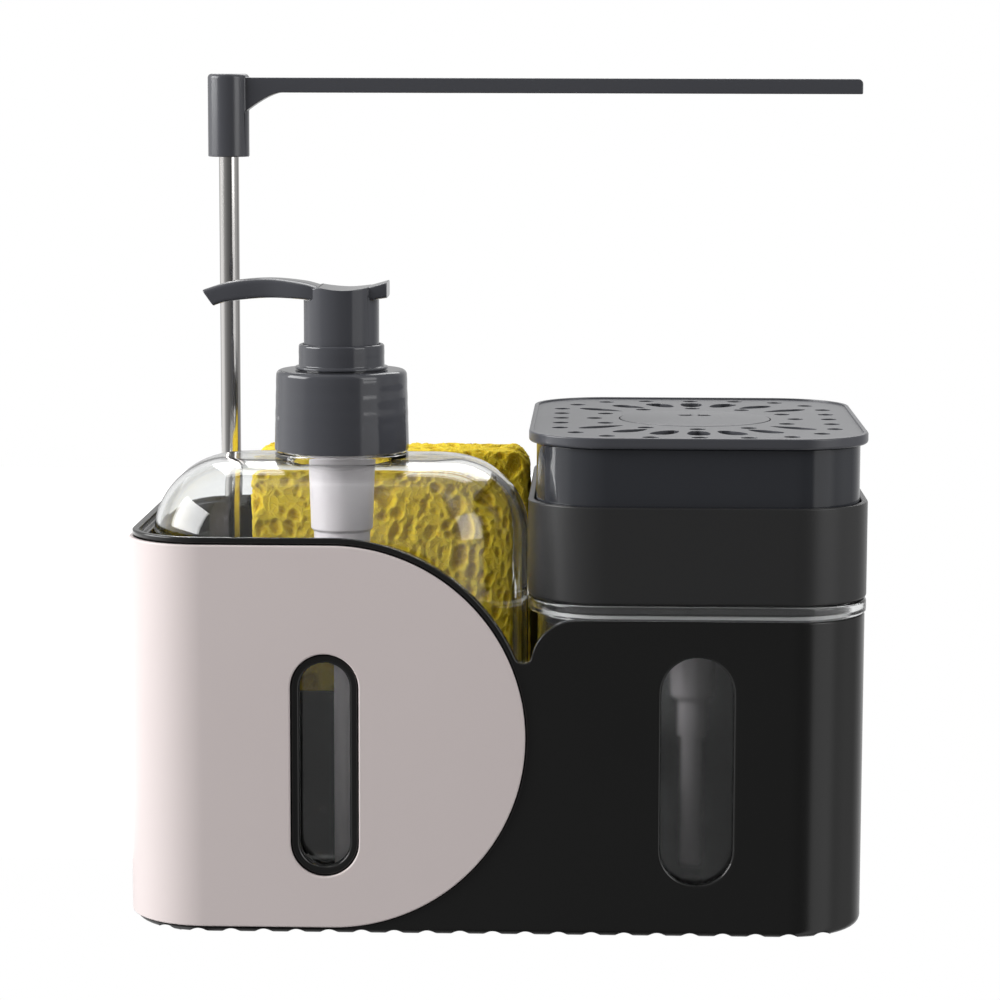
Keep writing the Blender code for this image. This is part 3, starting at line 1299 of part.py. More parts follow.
def make_sponge():
    """The sponge: an upright slab with softly rounded corners, standing on the slot's ribs."""
    front = DIVIDER_Y + DIVIDER / 2 + GAP
    low = FLOOR + SPONGE_RIB_HEIGHT + GAP
    high = low + SPONGE_HEIGHT
    corners = (
        (SPONGE_RIGHT, high, 0), (SPONGE_LEFT, high, 90), (SPONGE_LEFT, low, 180), (SPONGE_RIGHT, low, 270),
    )
    points = []
    for x, z, start in corners:
        centre_x = x - math.copysign(SPONGE_CORNER, x - (SPONGE_LEFT + SPONGE_RIGHT) / 2)
        centre_z = z - math.copysign(SPONGE_CORNER, z - (low + high) / 2)
        points += arc((centre_x, centre_z), SPONGE_CORNER, start, start + 90, 5)
    outline("sponge", points, front, front + SPONGE_DEPTH, finish=SPONGE_YELLOW)


make_caddy()
panel_shell("side_panel", 0, 0, WHITE_SATIN)
make_pole_and_arm()
make_left_bottle()
make_pump()
bottle_top = make_right_bottle()
collar_floor = make_collar(bottle_top)
press_levels = make_press_top()
make_plate_pump(*collar_floor, *press_levels)
make_sponge()
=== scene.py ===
import math

import bmesh
import bpy
from mathutils import Matrix, Vector, noise


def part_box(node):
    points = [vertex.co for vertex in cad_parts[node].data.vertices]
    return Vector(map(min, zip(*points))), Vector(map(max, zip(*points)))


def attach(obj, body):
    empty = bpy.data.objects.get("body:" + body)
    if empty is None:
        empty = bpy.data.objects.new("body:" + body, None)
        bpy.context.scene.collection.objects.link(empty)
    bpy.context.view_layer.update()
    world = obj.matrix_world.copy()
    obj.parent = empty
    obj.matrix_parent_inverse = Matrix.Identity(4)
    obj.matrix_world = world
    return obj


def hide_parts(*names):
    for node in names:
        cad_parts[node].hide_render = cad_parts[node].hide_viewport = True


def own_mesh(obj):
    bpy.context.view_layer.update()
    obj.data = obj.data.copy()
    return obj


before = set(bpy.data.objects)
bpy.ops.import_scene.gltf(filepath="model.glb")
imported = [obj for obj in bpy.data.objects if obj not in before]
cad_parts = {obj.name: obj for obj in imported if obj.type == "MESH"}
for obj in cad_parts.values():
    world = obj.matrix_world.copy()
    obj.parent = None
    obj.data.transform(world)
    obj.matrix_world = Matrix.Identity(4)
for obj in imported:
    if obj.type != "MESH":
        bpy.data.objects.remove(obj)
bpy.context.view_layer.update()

# The studio: a pale table top in front of a white backdrop. A soft box at each side gives the highlights, a
# fill lamp beside it the light, and a broad lamp stands high behind. The camera stands where the
# photographer's did, a little above the caddy, and looks slightly down.
scene = bpy.context.scene
scene.view_settings.view_transform = "Standard"

CAMERA_PLACE = (0.02827, -0.92615, 0.23497)
CAMERA_YAW = 0.0323
CAMERA_PITCH = 0.1287
CAMERA_ROLL = 0.0027
CAMERA_LENS = 115.27
camera_data = bpy.data.cameras.new("photo_camera")
camera_data.sensor_fit = "HORIZONTAL"
camera_data.sensor_width = 36
camera_data.lens = CAMERA_LENS
camera_data.clip_start = 0.02
camera = bpy.data.objects.new("photo_camera", camera_data)
scene.collection.objects.link(camera)
camera.matrix_world = (
    Matrix.Translation(CAMERA_PLACE)
    @ Matrix.Rotation(CAMERA_YAW, 4, "Z")
    @ Matrix.Rotation(math.pi / 2 - CAMERA_PITCH, 4, "X")
    @ Matrix.Rotation(CAMERA_ROLL, 4, "Z")
)
scene.camera = camera

LAMP_TARGET = Vector((-0.01, 0, 0.1))


def soft_lamp(name, place, width, height, power, shines=True, fills=True):
    """A soft box that faces the caddy. A fill lamp isn't seen in reflections, and a mirror lamp only there."""
    lamp = bpy.data.lights.new(name, "AREA")
    lamp.shape = "RECTANGLE"
    lamp.size = width
    lamp.size_y = height
    lamp.energy = power
    made = bpy.data.objects.new(name, lamp)
    scene.collection.objects.link(made)
    made.location = place
    made.rotation_euler = (LAMP_TARGET - made.location).to_track_quat("-Z", "Y").to_euler()
    made.visible_glossy = shines
    made.visible_transmission = shines
    made.visible_diffuse = fills


soft_lamp("left_soft_box", (-1.27, -0.16, 0.58), 1.05, 0.72, 18, fills=False)
soft_lamp("left_fill", (-1.47, -0.47, 0.60), 0.9, 0.9, 28.5, shines=False)
soft_lamp("right_soft_box", (0.98, -0.73, 0.54), 0.62, 0.8, 3.6, fills=False)
soft_lamp("right_fill", (1.27, -0.10, 0.50), 0.7, 0.7, 11, shines=False)
soft_lamp("top_soft_box", (0.05, 0.95, 1.15), 1.2, 1.0, 12)


def feed(tree, made, sockets):
    """Give a shader node's sockets their values, or link them from another node's outputs."""
    for label, value in sockets.items():
        if isinstance(value, bpy.types.NodeSocket):
            tree.links.new(value, made.inputs[label])
        else:
            made.inputs[label].default_value = value


def node(tree, kind, sockets=None, **settings):
    """Add a shader node with its settings and sockets."""
    made = tree.nodes.new("ShaderNode" + kind)
    for label, value in settings.items():
        setattr(made, label, value)
    feed(tree, made, sockets or {})
    return made


world = bpy.data.worlds.new("studio")
scene.world = world
world.use_nodes = True
sky = world.node_tree
heading = node(sky, "TexCoord")
split = node(sky, "SeparateXYZ", {0: heading.outputs["Generated"]})
ray = node(sky, "LightPath")


def fade(low, high, dark, bright):
    """How bright the room is, from its dark front to its white backdrop."""
    limits = {"From Min": low, "From Max": high, "To Min": dark, "To Max": bright}
    made = node(sky, "MapRange", {"Value": split.outputs["Y"], **limits}, interpolation_type="SMOOTHSTEP")
    return made.outputs["Result"]


def blend_by(kind, plain, chosen):
    """One of two levels, by what kind of ray asks."""
    levels = {"Factor": ray.outputs[kind], "A": plain, "B": chosen}
    return node(sky, "Mix", levels, data_type="FLOAT").outputs["Result"]


# What polished surfaces mirror, by compass angle: -180 is the backdrop, -90 the left, 0 the camera's side.
ROOM = (
    (-180, 0.56), (-140, 0.60), (-126, 0.8), (-118, 1.15), (-88, 1.1), (-70, 0.85), (-58, 0.45), (-29, 0.24),
    (-10, 0.17), (0, 0.14), (12, 0.13), (22, 0.08), (35, 0.12), (40, 0.95), (66, 0.95), (78, 0.50), (96, 0.48),
    (120, 0.26), (137, 0.45), (155, 0.70), (180, 0.72),
)
ROOM_TINT = (1, 0.955, 0.95)
MIRROR_GAIN = 2
flipped = node(sky, "Math", {0: split.outputs["Y"], 1: -1}, operation="MULTIPLY")
compass = node(sky, "Math", {0: split.outputs["X"], 1: flipped.outputs[0]}, operation="ARCTAN2")
share = node(sky, "MapRange", {"Value": compass.outputs[0], "From Min": -math.pi, "From Max": math.pi})
mirror_ramp = node(sky, "ValToRGB", {"Fac": share.outputs["Result"]})
stops = mirror_ramp.color_ramp.elements
for number, (angle, level) in enumerate(ROOM):
    spot = (angle + 180) / 360
    stop = stops[number] if number < 2 else stops.new(spot)
    stop.position = spot
    stop.color = (*(part * level / MIRROR_GAIN for part in ROOM_TINT), 1)
gain = node(sky, "Math", {0: mirror_ramp.outputs["Color"], 1: MIRROR_GAIN}, operation="MULTIPLY")
mirrored = blend_by("Is Glossy Ray", fade(-0.4, 0.5, 0.30, 0.62), gain.outputs[0])
through = blend_by("Is Transmission Ray", mirrored, fade(-0.6, 0.1, 0.62, 1.0))
feed(sky, sky.nodes["Background"], {"Color": (1, 1, 1, 1), "Strength": blend_by("Is Camera Ray", through, 1)})


def settle(name):
    """Name the new primitive, and move its place, turn and scale into its mesh."""
    made = bpy.context.object
    made.name = name
    bpy.ops.object.transform_apply(location=True, rotation=True, scale=True)
    return made


bpy.ops.object.select_all(action="DESELECT")
bpy.ops.mesh.primitive_plane_add(size=1, location=(-0.45, 0.53, -0.0004), scale=(1.5, 1.4, 1))
table = settle("table_top")
TABLE_GREY = (0.55, 0.55, 0.55, 1)
TABLE_GLOW = 0.8
table_paint = bpy.data.materials.new("table_white")
table_paint.use_nodes = True
top = table_paint.node_tree
top.nodes.remove(top.nodes["Principled BSDF"])
seen = node(top, "LightPath").outputs
also = node(top, "Math", {0: seen["Is Glossy Ray"], 1: seen["Is Transmission Ray"]}, operation="MAXIMUM")
seen_by = node(top, "Math", {0: seen["Is Camera Ray"], 1: also.outputs[0]}, operation="ADD", use_clamp=True)
level = node(top, "Math", {0: seen_by.outputs[0], 1: TABLE_GLOW}, operation="MULTIPLY")
matte = node(top, "BsdfDiffuse", {"Color": TABLE_GREY})
glow = node(top, "Emission", {"Strength": level.outputs[0]})
both = node(top, "AddShader", {0: matte.outputs[0], 1: glow.outputs[0]})
feed(top, top.nodes["Material Output"], {"Surface": both.outputs[0]})
table.data.materials.append(table_paint)

# The caddy body: one black moulding with a satin skin, probably ABS. It has a bay for each bottle, a slot for
# the sponge, a proud border that frames the side panel, a window in the front of each bay, a socket for the
# pole and grooves across its foot.
caddy_low, caddy_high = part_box("caddy_body")
MIDDLE_X = (caddy_low.x + caddy_high.x) / 2
HALF_WIDTH = (caddy_high.x - caddy_low.x) / 2
HALF_DEPTH = (caddy_high.y - caddy_low.y) / 2
RIM_Z = caddy_high.z
GAP = 0.0003
PROUD = 0.001
BORDER = 0.002
FLOOR = 0.003
CORNER = 0.023
THICK_WALL = 0.0048
THIN_WALL = 0.002
BEYOND = 0.02
DIVIDER = 0.0018
DIVIDER_X = MIDDLE_X + 0.0104
DIVIDER_Y = 0.0142
DIVIDER_TOP = 0.0555
D_X = MIDDLE_X - 0.0448
PANEL_LOW = 0.0021
PANEL_HIGH = RIM_Z - BORDER
D_RADIUS = (PANEL_HIGH - PANEL_LOW) / 2
D_Z = PANEL_LOW + D_RADIUS
RIM_RADIUS = D_RADIUS + BORDER
REAR_END = MIDDLE_X - 0.0594
REAR_CORNER = 0.008
BLACK = (0.0100, 0.0100, 0.0098, 1)
BLACK_SHADE = (0.0120, 0.0120, 0.0118, 1)


def only(piece):
    """Select one object alone and make it the active one."""
    bpy.ops.object.select_all(action="DESELECT")
    piece.select_set(True)
    bpy.context.view_layer.objects.active = piece


def pick(piece, kind, wanted):
    """In edit mode, select the vertices, edges or faces that pass a test, and nothing else."""
    bpy.ops.mesh.select_mode(type=kind)
    bpy.ops.mesh.select_all(action="DESELECT")
    shape = bmesh.from_edit_mesh(piece.data)
    for item in {"VERT": shape.verts, "EDGE": shape.edges, "FACE": shape.faces}[kind]:
        if wanted(item):
            item.select_set(True)
    bmesh.update_edit_mesh(piece.data)


def round_where(piece, wanted, radius, steps):
    """Bevel the edges that pass a test to a radius."""
    only(piece)
    bpy.ops.object.mode_set(mode="EDIT")
    pick(piece, "EDGE", wanted)
    bpy.ops.mesh.bevel(offset=radius, segments=steps, profile=0.5, affect="EDGES")
    bpy.ops.object.mode_set(mode="OBJECT")


def level_edge(z):
    """A test for the edges that lie flat at a height."""
    return lambda edge: all(abs(vertex.co.z - z) < 1e-6 for vertex in edge.verts)


def rounded_box(name, x, y, z, corner=0.0, top=0.0, foot=0.0, steps=14):
    """A cube put to size and place, then its upright corners, its top and its foot bevelled round."""
    bpy.ops.object.select_all(action="DESELECT")
    centre = [(low + high) / 2 for low, high in (x, y, z)]
    bpy.ops.mesh.primitive_cube_add(
        size=1, location=centre, scale=[high - low for low, high in (x, y, z)]
    )
    piece = settle(name)
    if corner:
        half = (z[1] - z[0]) / 2
        round_where(piece, lambda edge: abs(edge.verts[0].co.z - edge.verts[1].co.z) > half, corner, steps)
    if top:
        round_where(piece, level_edge(z[1]), top, steps)
    if foot:
        round_where(piece, level_edge(z[0]), foot, max(4, steps // 2))
    return piece


def start_point(name, place):
    """A tiny plane merged to one point in edit mode, from which an outline is extruded."""
    bpy.ops.object.select_all(action="DESELECT")
    bpy.ops.mesh.primitive_plane_add(size=0.001)
    piece = bpy.context.object
    piece.name = name
    bpy.ops.object.mode_set(mode="EDIT")
    bpy.ops.mesh.select_mode(type="VERT")
    bpy.ops.mesh.select_all(action="SELECT")
    bpy.ops.mesh.merge(type="CENTER")
    bpy.ops.transform.translate(value=place)
    return piece


def extrude_to(steps):
    """Extrude the selected point or face by each step in turn."""
    for step in steps:
        bpy.ops.mesh.extrude_region_move(TRANSFORM_OT_translate={"value": step})


def close_up():
    """Turn the faces of the mesh in hand outwards, and leave edit mode."""
    bpy.ops.mesh.select_all(action="SELECT")
    bpy.ops.mesh.normals_make_consistent(inside=False)
    bpy.ops.object.mode_set(mode="OBJECT")


def slab(name, points, low, high, upright=True):
    """An outline drawn point by point, filled and extruded. Upright, it is drawn in X and Z."""
    def place(point, depth):
        return Vector((point[0], depth, point[1])) if upright else Vector((*point, depth))

    places = [place(point, low) for point in points]
    piece = start_point(name, places[0])
    extrude_to([b - a for a, b in zip(places, places[1:])])
    bpy.ops.mesh.select_all(action="SELECT")
    bpy.ops.mesh.edge_face_add()
    extrude_to([place((0, 0), high) - place((0, 0), low)])
    close_up()
    return piece


def arc(centre, radius, start, end, steps):
    """Points on an arc, with its angles in degrees."""
    turns = [math.radians(start + (end - start) * i / steps) for i in range(steps + 1)]
    return [(centre[0] + radius * math.cos(t), centre[1] + radius * math.sin(t)) for t in turns]


def capsule(x, z, width, height, steps=24):
    """The outline of an upright slot with round ends."""
    rise = (height - width) / 2
    return arc((x, z + rise), width / 2, 0, 180, steps) + arc((x, z - rise), width / 2, 180, 360, steps)


def modify(piece, kind, **settings):
    """Put a modifier with its settings on a piece, and apply it."""
    only(piece)
    added = piece.modifiers.new(kind.lower(), kind)
    for label, value in settings.items():
        setattr(added, label, value)
    bpy.ops.object.modifier_apply(modifier=added.name)


def combine(piece, other, operation="DIFFERENCE"):
    """Cut a piece by another, or join it on, and remove the other."""
    modify(piece, "BOOLEAN", operation=operation, solver="EXACT", object=other)
    bpy.data.objects.remove(other, do_unlink=True)


def soften(piece, width, steps=2, limit=40):
    """Break a piece's sharp edges with a small round, as a mould leaves them."""
    modify(
        piece, "BEVEL", width=width, segments=steps, limit_method="ANGLE", angle_limit=math.radians(limit),
        use_clamp_overlap=False,
    )


def shade(piece, angle=35):
    """Shade a piece smooth between its sharp edges, with its flat faces kept flat."""
    only(piece)
    bpy.ops.object.shade_smooth_by_angle(angle=math.radians(angle))
    modify(piece, "WEIGHTED_NORMAL", keep_sharp=True)


def trimmers(radius, rear_end, rear_corner, low, high):
    """Two blocks that cut away what lies right of the D at the front and of the rounded end at the rear."""
    far = MIDDLE_X + HALF_WIDTH + BEYOND
    top = RIM_Z + BEYOND
    front = [(D_X, top), *arc((D_X, D_Z), radius, 90, -90, 120), (D_X, -BEYOND), (far, -BEYOND), (far, top)]
    corner_x = rear_end - rear_corner
    rear = [(corner_x, top), *arc((corner_x, high - rear_corner), rear_corner, 90, 0, 16)]
    rear += [*arc((corner_x, low + rear_corner), rear_corner, 0, -90, 16), (corner_x, -BEYOND)]
    rear += [(far, -BEYOND), (far, top)]
    return (
        slab("front_trim", front, -HALF_DEPTH - BEYOND, BEYOND / 2),
        slab("rear_trim", rear, -BEYOND / 2, HALF_DEPTH + BEYOND),
    )


def walls(name, inset, z, right=None, **rounds):
    """A block that follows the caddy's outside at an inset."""
    reach = HALF_WIDTH - inset
    side = HALF_DEPTH - inset
    right = MIDDLE_X + reach if right is None else right
    return rounded_box(name, (MIDDLE_X - reach, right), (-side, side), z, corner=CORNER - inset, **rounds)


def panel_block(grow, outward):
    """The side panel's solid, or grown, the recess that it sits in."""
    shell = walls("side_panel_shell", -outward, (PANEL_LOW - grow, PANEL_HIGH + grow))
    depth = PANEL_THICKNESS + grow
    combine(shell, walls("hollow", depth, (-BEYOND, RIM_Z + BEYOND), right=MIDDLE_X + HALF_WIDTH + BEYOND))
    cuts = trimmers(D_RADIUS + grow, REAR_END + grow, REAR_CORNER + grow, PANEL_LOW - grow, PANEL_HIGH + grow)
    for cut in cuts:
        combine(shell, cut)
    lip = 2 * (WINDOW_LIP + GAP - grow)
    window = capsule(LEFT_WINDOW_X, LEFT_WINDOW_Z, LEFT_WINDOW[0] + lip, LEFT_WINDOW[1] + lip)
    combine(shell, slab("window", window, -HALF_DEPTH - BEYOND, 0))
    return shell


RIGHT_WALL_TOP = 0.0890
WALL_ROUND = 0.0123
NOTCH_ROUND = 0.0023


def wall_top():
    """What lies above the walls: the flat left rim, the D's arc, the notch and the lower right wall."""
    shoulder = (MIDDLE_X + 0.0226, RIGHT_WALL_TOP - WALL_ROUND)
    first = RIM_RADIUS + NOTCH_ROUND
    second = WALL_ROUND + NOTCH_ROUND
    run = Vector((shoulder[0] - D_X, shoulder[1] - D_Z))
    reach = run.length
    along = (first ** 2 - second ** 2 + reach ** 2) / (2 * reach)
    aside = math.sqrt(first ** 2 - along ** 2)
    run.normalize()
    notch = (D_X + along * run.x - aside * run.y, D_Z + along * run.y + aside * run.x)
    down = math.degrees(math.atan2(notch[1] - D_Z, notch[0] - D_X))
    up = math.degrees(math.atan2(notch[1] - shoulder[1], notch[0] - shoulder[0]))
    far = HALF_WIDTH + BEYOND
    points = [(MIDDLE_X - far, RIM_Z), *arc((D_X, D_Z), RIM_RADIUS, 90, down, 60)]
    points += arc(notch, NOTCH_ROUND, down + 180, up + 180, 14)[1:-1]
    points += arc(shoulder, WALL_ROUND, up, 90, 24)
    top = RIM_Z + 2 * BEYOND
    return points + [(MIDDLE_X + far, RIGHT_WALL_TOP), (MIDDLE_X + far, top), (MIDDLE_X - far, top)]


PANEL_THICKNESS = 0.0015
WINDOW_LIP = 0.00225
LEFT_WINDOW = (0.014, 0.0576)
LEFT_WINDOW_X = D_X - 0.0019
LEFT_WINDOW_Z = 0.04795
RIGHT_WINDOW = (0.020, 0.0640)
RIGHT_WINDOW_Z = 0.0469
right_low, right_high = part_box("right_bottle")
RIGHT_X = (right_low.x + right_high.x) / 2

caddy = walls("caddy_moulding", 0, (PANEL_LOW - 0.0011, RIM_Z + BEYOND), foot=0.0011)
for cut in trimmers(RIM_RADIUS, REAR_END + BORDER, REAR_CORNER + BORDER, -2 * BEYOND, RIM_Z):
    combine(caddy, cut)
main_right = MIDDLE_X + HALF_WIDTH
front_back = HALF_DEPTH - PROUD
main = rounded_box(
    "main", (MIDDLE_X - HALF_WIDTH + PROUD, main_right), (-front_back, front_back), (0, RIM_Z + BEYOND + GAP),
    corner=CORNER - PROUD, foot=0.0025,
)
combine(caddy, main, "UNION")
combine(caddy, slab("above", wall_top(), -HALF_DEPTH - BEYOND, HALF_DEPTH + BEYOND))
bay_right = MIDDLE_X + HALF_WIDTH / 2
combine(caddy, walls("upper_hollow", THICK_WALL, (DIVIDER_TOP, RIM_Z + 3 * BEYOND), right=bay_right))
combine(caddy, walls("rim_ledge", 0.003, (RIM_Z - 0.0022, RIM_Z + 3 * BEYOND), right=bay_right))
BAY_RIGHT = DIVIDER_X - DIVIDER / 2
pocket_rows = {"bottle_bay": (-HALF_DEPTH - BEYOND, DIVIDER_Y - DIVIDER / 2)}
pocket_rows["sponge_slot"] = (DIVIDER_Y + DIVIDER / 2, HALF_DEPTH + BEYOND)
for name, row in pocket_rows.items():
    pocket = rounded_box(
        name, (MIDDLE_X - HALF_WIDTH - BEYOND, BAY_RIGHT), row, (-BEYOND, DIVIDER_TOP + DIVIDER), corner=0.001,
        steps=4,
    )
    combine(pocket, walls("pocket_walls", THICK_WALL, (FLOOR, RIM_Z + BEYOND), right=bay_right), "INTERSECT")
    combine(caddy, pocket)
right_bay = rounded_box(
    "right_bay", (DIVIDER_X + DIVIDER / 2, main_right - THIN_WALL),
    (-front_back + THIN_WALL, front_back - THIN_WALL), (FLOOR, RIM_Z + 2 * BEYOND),
    corner=CORNER - PROUD - THIN_WALL,
)
combine(caddy, right_bay)
combine(caddy, panel_block(GAP, PROUD))
WINDOWS = ((LEFT_WINDOW_X, LEFT_WINDOW_Z, LEFT_WINDOW), (RIGHT_X, RIGHT_WINDOW_Z, RIGHT_WINDOW))
for x, z, (width, height) in WINDOWS:
    combine(caddy, slab("window", capsule(x, z, width, height), -HALF_DEPTH - BEYOND, -HALF_DEPTH / 2))

GROOVE_PITCH = 0.00915
GROOVE_DEPTH = 0.0011
GROOVE_RADIUS = (0.0046 ** 2 / 4 + GROOVE_DEPTH ** 2) / (2 * GROOVE_DEPTH)
bpy.ops.object.select_all(action="DESELECT")
bpy.ops.mesh.primitive_cylinder_add(
    vertices=40, radius=GROOVE_RADIUS, depth=2 * HALF_DEPTH + BEYOND, rotation=(math.pi / 2, 0, 0),
    location=(MIDDLE_X - 10 * GROOVE_PITCH, 0, GROOVE_DEPTH - GROOVE_RADIUS),
)
grooves = settle("grooves")
modify(
    grooves, "ARRAY", count=21, use_relative_offset=False, use_constant_offset=True,
    constant_offset_displace=(GROOVE_PITCH, 0, 0),
)
combine(caddy, grooves)


def sides(low, high, inset=0.0):
    """A box's reach in X and in Y, at an inset."""
    return (low.x + inset, high.x - inset), (low.y + inset, high.y - inset)


sponge_low, sponge_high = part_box("sponge")
RIB_TOP = sponge_low.z - GAP
rib_spacing = (sponge_high.x - sponge_low.x) / 5
for i in range(5):
    rib_x = sponge_low.x + (i + 0.5) * rib_spacing
    rib = rounded_box(
        "rib", (rib_x - 0.001, rib_x + 0.001), (DIVIDER_Y, HALF_DEPTH - THICK_WALL / 2), (FLOOR / 2, RIB_TOP),
        top=0.0004, steps=4,
    )
    combine(caddy, rib, "UNION")


def turned(name, profile, axis, steps=96, closed=True):
    """A turned piece: half of its section is drawn point by point and spun round its axis."""
    places = [Vector((axis.x + radius, axis.y, height)) for radius, height in profile]
    piece = start_point(name, places[0])
    if closed:
        places.append(places[0])
    extrude_to([b - a for a, b in zip(places, places[1:])])
    bpy.ops.mesh.select_all(action="SELECT")
    bpy.ops.mesh.remove_doubles(threshold=0.00001)
    bpy.ops.mesh.spin(steps=steps, angle=2 * math.pi, center=(axis.x, axis.y, 0), axis=(0, 0, 1))
    bpy.ops.mesh.select_all(action="SELECT")
    bpy.ops.mesh.remove_doubles(threshold=0.00001)
    close_up()
    return piece


def bore(piece, radius, low, high, axis, steps=64):
    """Drill a round hole down an axis."""
    profile = [(0, high), (radius, high), (radius, low), (0, low)]
    combine(piece, turned("bore", profile, axis, steps, closed=False))


def eased(points, steps=4):
    """The same outline, with each corner that gives a third number rounded to that radius."""
    made = []
    for i, point in enumerate(points):
        here = Vector(point[:2])
        if len(point) < 3:
            made.append(tuple(here))
            continue
        before = (Vector(points[i - 1][:2]) - here).normalized()
        after = (Vector(points[(i + 1) % len(points)][:2]) - here).normalized()
        half = before.angle(after) / 2
        centre = here + (before + after).normalized() * point[2] / math.sin(half)
        reach = point[2] / math.tan(half)
        start = here + before * reach - centre
        end = here + after * reach - centre
        sweep = start.angle(end)
        for k in range(steps + 1):
            t = k / steps
            spot = start * math.sin((1 - t) * sweep) + end * math.sin(t * sweep)
            made.append(tuple(centre + spot / math.sin(sweep)))
    return made


def centre_of(name):
    """The middle of a CAD node's box."""
    low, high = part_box(name)
    return (low + high) / 2


POLE = centre_of("steel_pole")
SOCKET_TOP = FLOOR + 0.022
socket_profile = eased([(0, SOCKET_TOP), (0.0058, SOCKET_TOP, 0.0006), (0.0058, FLOOR / 2), (0, FLOOR / 2)])
combine(caddy, turned("socket", socket_profile, POLE, 48, closed=False), "UNION")
bore(caddy, 0.0033, FLOOR + GAP, RIM_Z, POLE, 48)


def window_edge(edge):
    """A test for the front edges of the two windows."""
    for vertex in edge.verts:
        place = vertex.co
        if place.y > -HALF_DEPTH + 0.003:
            return False
        near = False
        for x, z, (width, height) in WINDOWS:
            rise = (height - width) / 2
            middle = max(z - rise, min(z + rise, place.z))
            near = near or abs(math.dist((place.x, place.z), (x, middle)) - width / 2) < 0.00003
        if not near:
            return False
    return abs(edge.verts[0].co.y - edge.verts[1].co.y) < 1e-6


round_where(caddy, window_edge, 0.0008, 4)
soften(caddy, 0.0005, 3)
shade(caddy)


def group(name, inputs, outputs):
    """An empty shader node group with named inputs and outputs."""
    tree = bpy.data.node_groups.new(name, "ShaderNodeTree")
    for label, kind, value in inputs:
        socket = tree.interface.new_socket(name=label, in_out="INPUT", socket_type="NodeSocket" + kind)
        socket.default_value = value
    for label, kind in outputs:
        tree.interface.new_socket(name=label, in_out="OUTPUT", socket_type="NodeSocket" + kind)
    return tree, tree.nodes.new("NodeGroupInput").outputs, tree.nodes.new("NodeGroupOutput")


def make_skin(name, drawn):
    """A faint tone and gloss, and the fine grain of a mould, or the lines along a drawn metal surface."""
    tree, given, out = group(
        name,
        [("Colour", "Color", (0.5, 0.5, 0.5, 1)), ("Shade", "Color", (0.4, 0.4, 0.4, 1)),
         ("Roughness", "Float", 0.3), ("Spread", "Float", 0.05), ("Grain Size", "Float", 2500.0)],
        [("Colour", "Color"), ("Roughness", "Float"), ("Height", "Float")],
    )
    place = node(tree, "TexCoord").outputs["Object"]
    if drawn:
        place = node(tree, "Mapping", {"Vector": place, "Scale": (1, 1, 0.02)}).outputs["Vector"]
    fine = {"Vector": place, "Scale": given["Grain Size"], "Detail": 3 if drawn else 2}
    grain = node(tree, "TexNoise", fine).outputs["Fac"]
    clouds = grain if drawn else node(tree, "TexNoise", {"Vector": place, "Scale": 28, "Detail": 4}).outputs["Fac"]
    tone = node(tree, "Mix", {"Factor": clouds, "A": given["Colour"], "B": given["Shade"]}, data_type="RGBA")
    gloss = node(tree, "Math", {0: clouds, 1: given["Spread"], 2: given["Roughness"]}, operation="MULTIPLY_ADD")
    feed(tree, out, {"Colour": tone.outputs["Result"], "Roughness": gloss.outputs[0], "Height": grain})
    return tree


MOULDED_SKIN = make_skin("moulded_skin", False)


def skin_material(name, colour, shade_colour, roughness, spread, grain_size, grain_depth, plain=None, skin=None):
    """A material with a moulded or drawn skin. What is the same all over is set on the shader itself."""
    made = bpy.data.materials.new(name)
    made.use_nodes = True
    tree = made.node_tree
    values = {"Colour": colour, "Shade": shade_colour, "Roughness": roughness, "Spread": spread}
    values["Grain Size"] = grain_size
    look = node(tree, "Group", values, node_tree=skin or MOULDED_SKIN).outputs
    relief = node(tree, "Bump", {"Strength": 0.35, "Distance": grain_depth, "Height": look["Height"]})
    feed(tree, tree.nodes["Principled BSDF"], {
        "Base Color": look["Colour"], "Roughness": look["Roughness"], "Normal": relief.outputs["Normal"],
        **(plain or {}),
    })
    return made


black_satin = skin_material(
    "black_satin_skin", BLACK, BLACK_SHADE, 0.17, 0.05, 2400, 0.000015, {"Specular IOR Level": 0.5}
)
caddy.data.materials.append(black_satin)
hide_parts("caddy_body")
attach(caddy, "caddy")

# The side panel: a warm white satin cover of thin ABS that clips into the black border. It runs from the D
# at the front round the left side to a rounded end at the rear, and has one slot-shaped opening.
WHITE = (0.755, 0.672, 0.662, 1)
WHITE_SHADE = (0.725, 0.642, 0.632, 1)
panel = panel_block(0, 0)
panel.name = "side_panel_cover"
soften(panel, 0.00045, 3)
shade(panel)
white_satin = skin_material(
    "warm_white_skin", WHITE, WHITE_SHADE, 0.36, 0.05, 1900, 0.00005, {"Specular IOR Level": 0.45}
)
panel.data.materials.append(white_satin)
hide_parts("side_panel")
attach(panel, "caddy")

# The pole: a polished stainless steel tube that stands in the caddy's socket. A white plastic bush on its top
# end lets the towel arm turn.
pole_low, pole_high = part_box("steel_pole")
POLE_RADIUS = 0.003
pole_profile = eased(
    [(POLE_RADIUS, pole_high.z, 0.0003), (POLE_RADIUS, pole_low.z, 0.0003), (0.0023, pole_low.z),
     (0.0023, pole_high.z)]
)
pole = turned("pole_tube", pole_profile, POLE, 64)
shade(pole)
bush_low, bush_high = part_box("pole_bush")
bush_radius = (bush_high.x - bush_low.x) / 2
roof = bush_high.z - 0.0015
bush_profile = eased(
    [(0, bush_high.z), (bush_radius, bush_high.z, 0.0004), (bush_radius, bush_low.z, 0.0003),
     (POLE_RADIUS + GAP, bush_low.z), (POLE_RADIUS + GAP, roof), (0, roof)]
)
bush = turned("pole_bush_cap", bush_profile, POLE, 48, closed=False)
shade(bush)
DRAWN_SKIN = make_skin("drawn_skin", True)
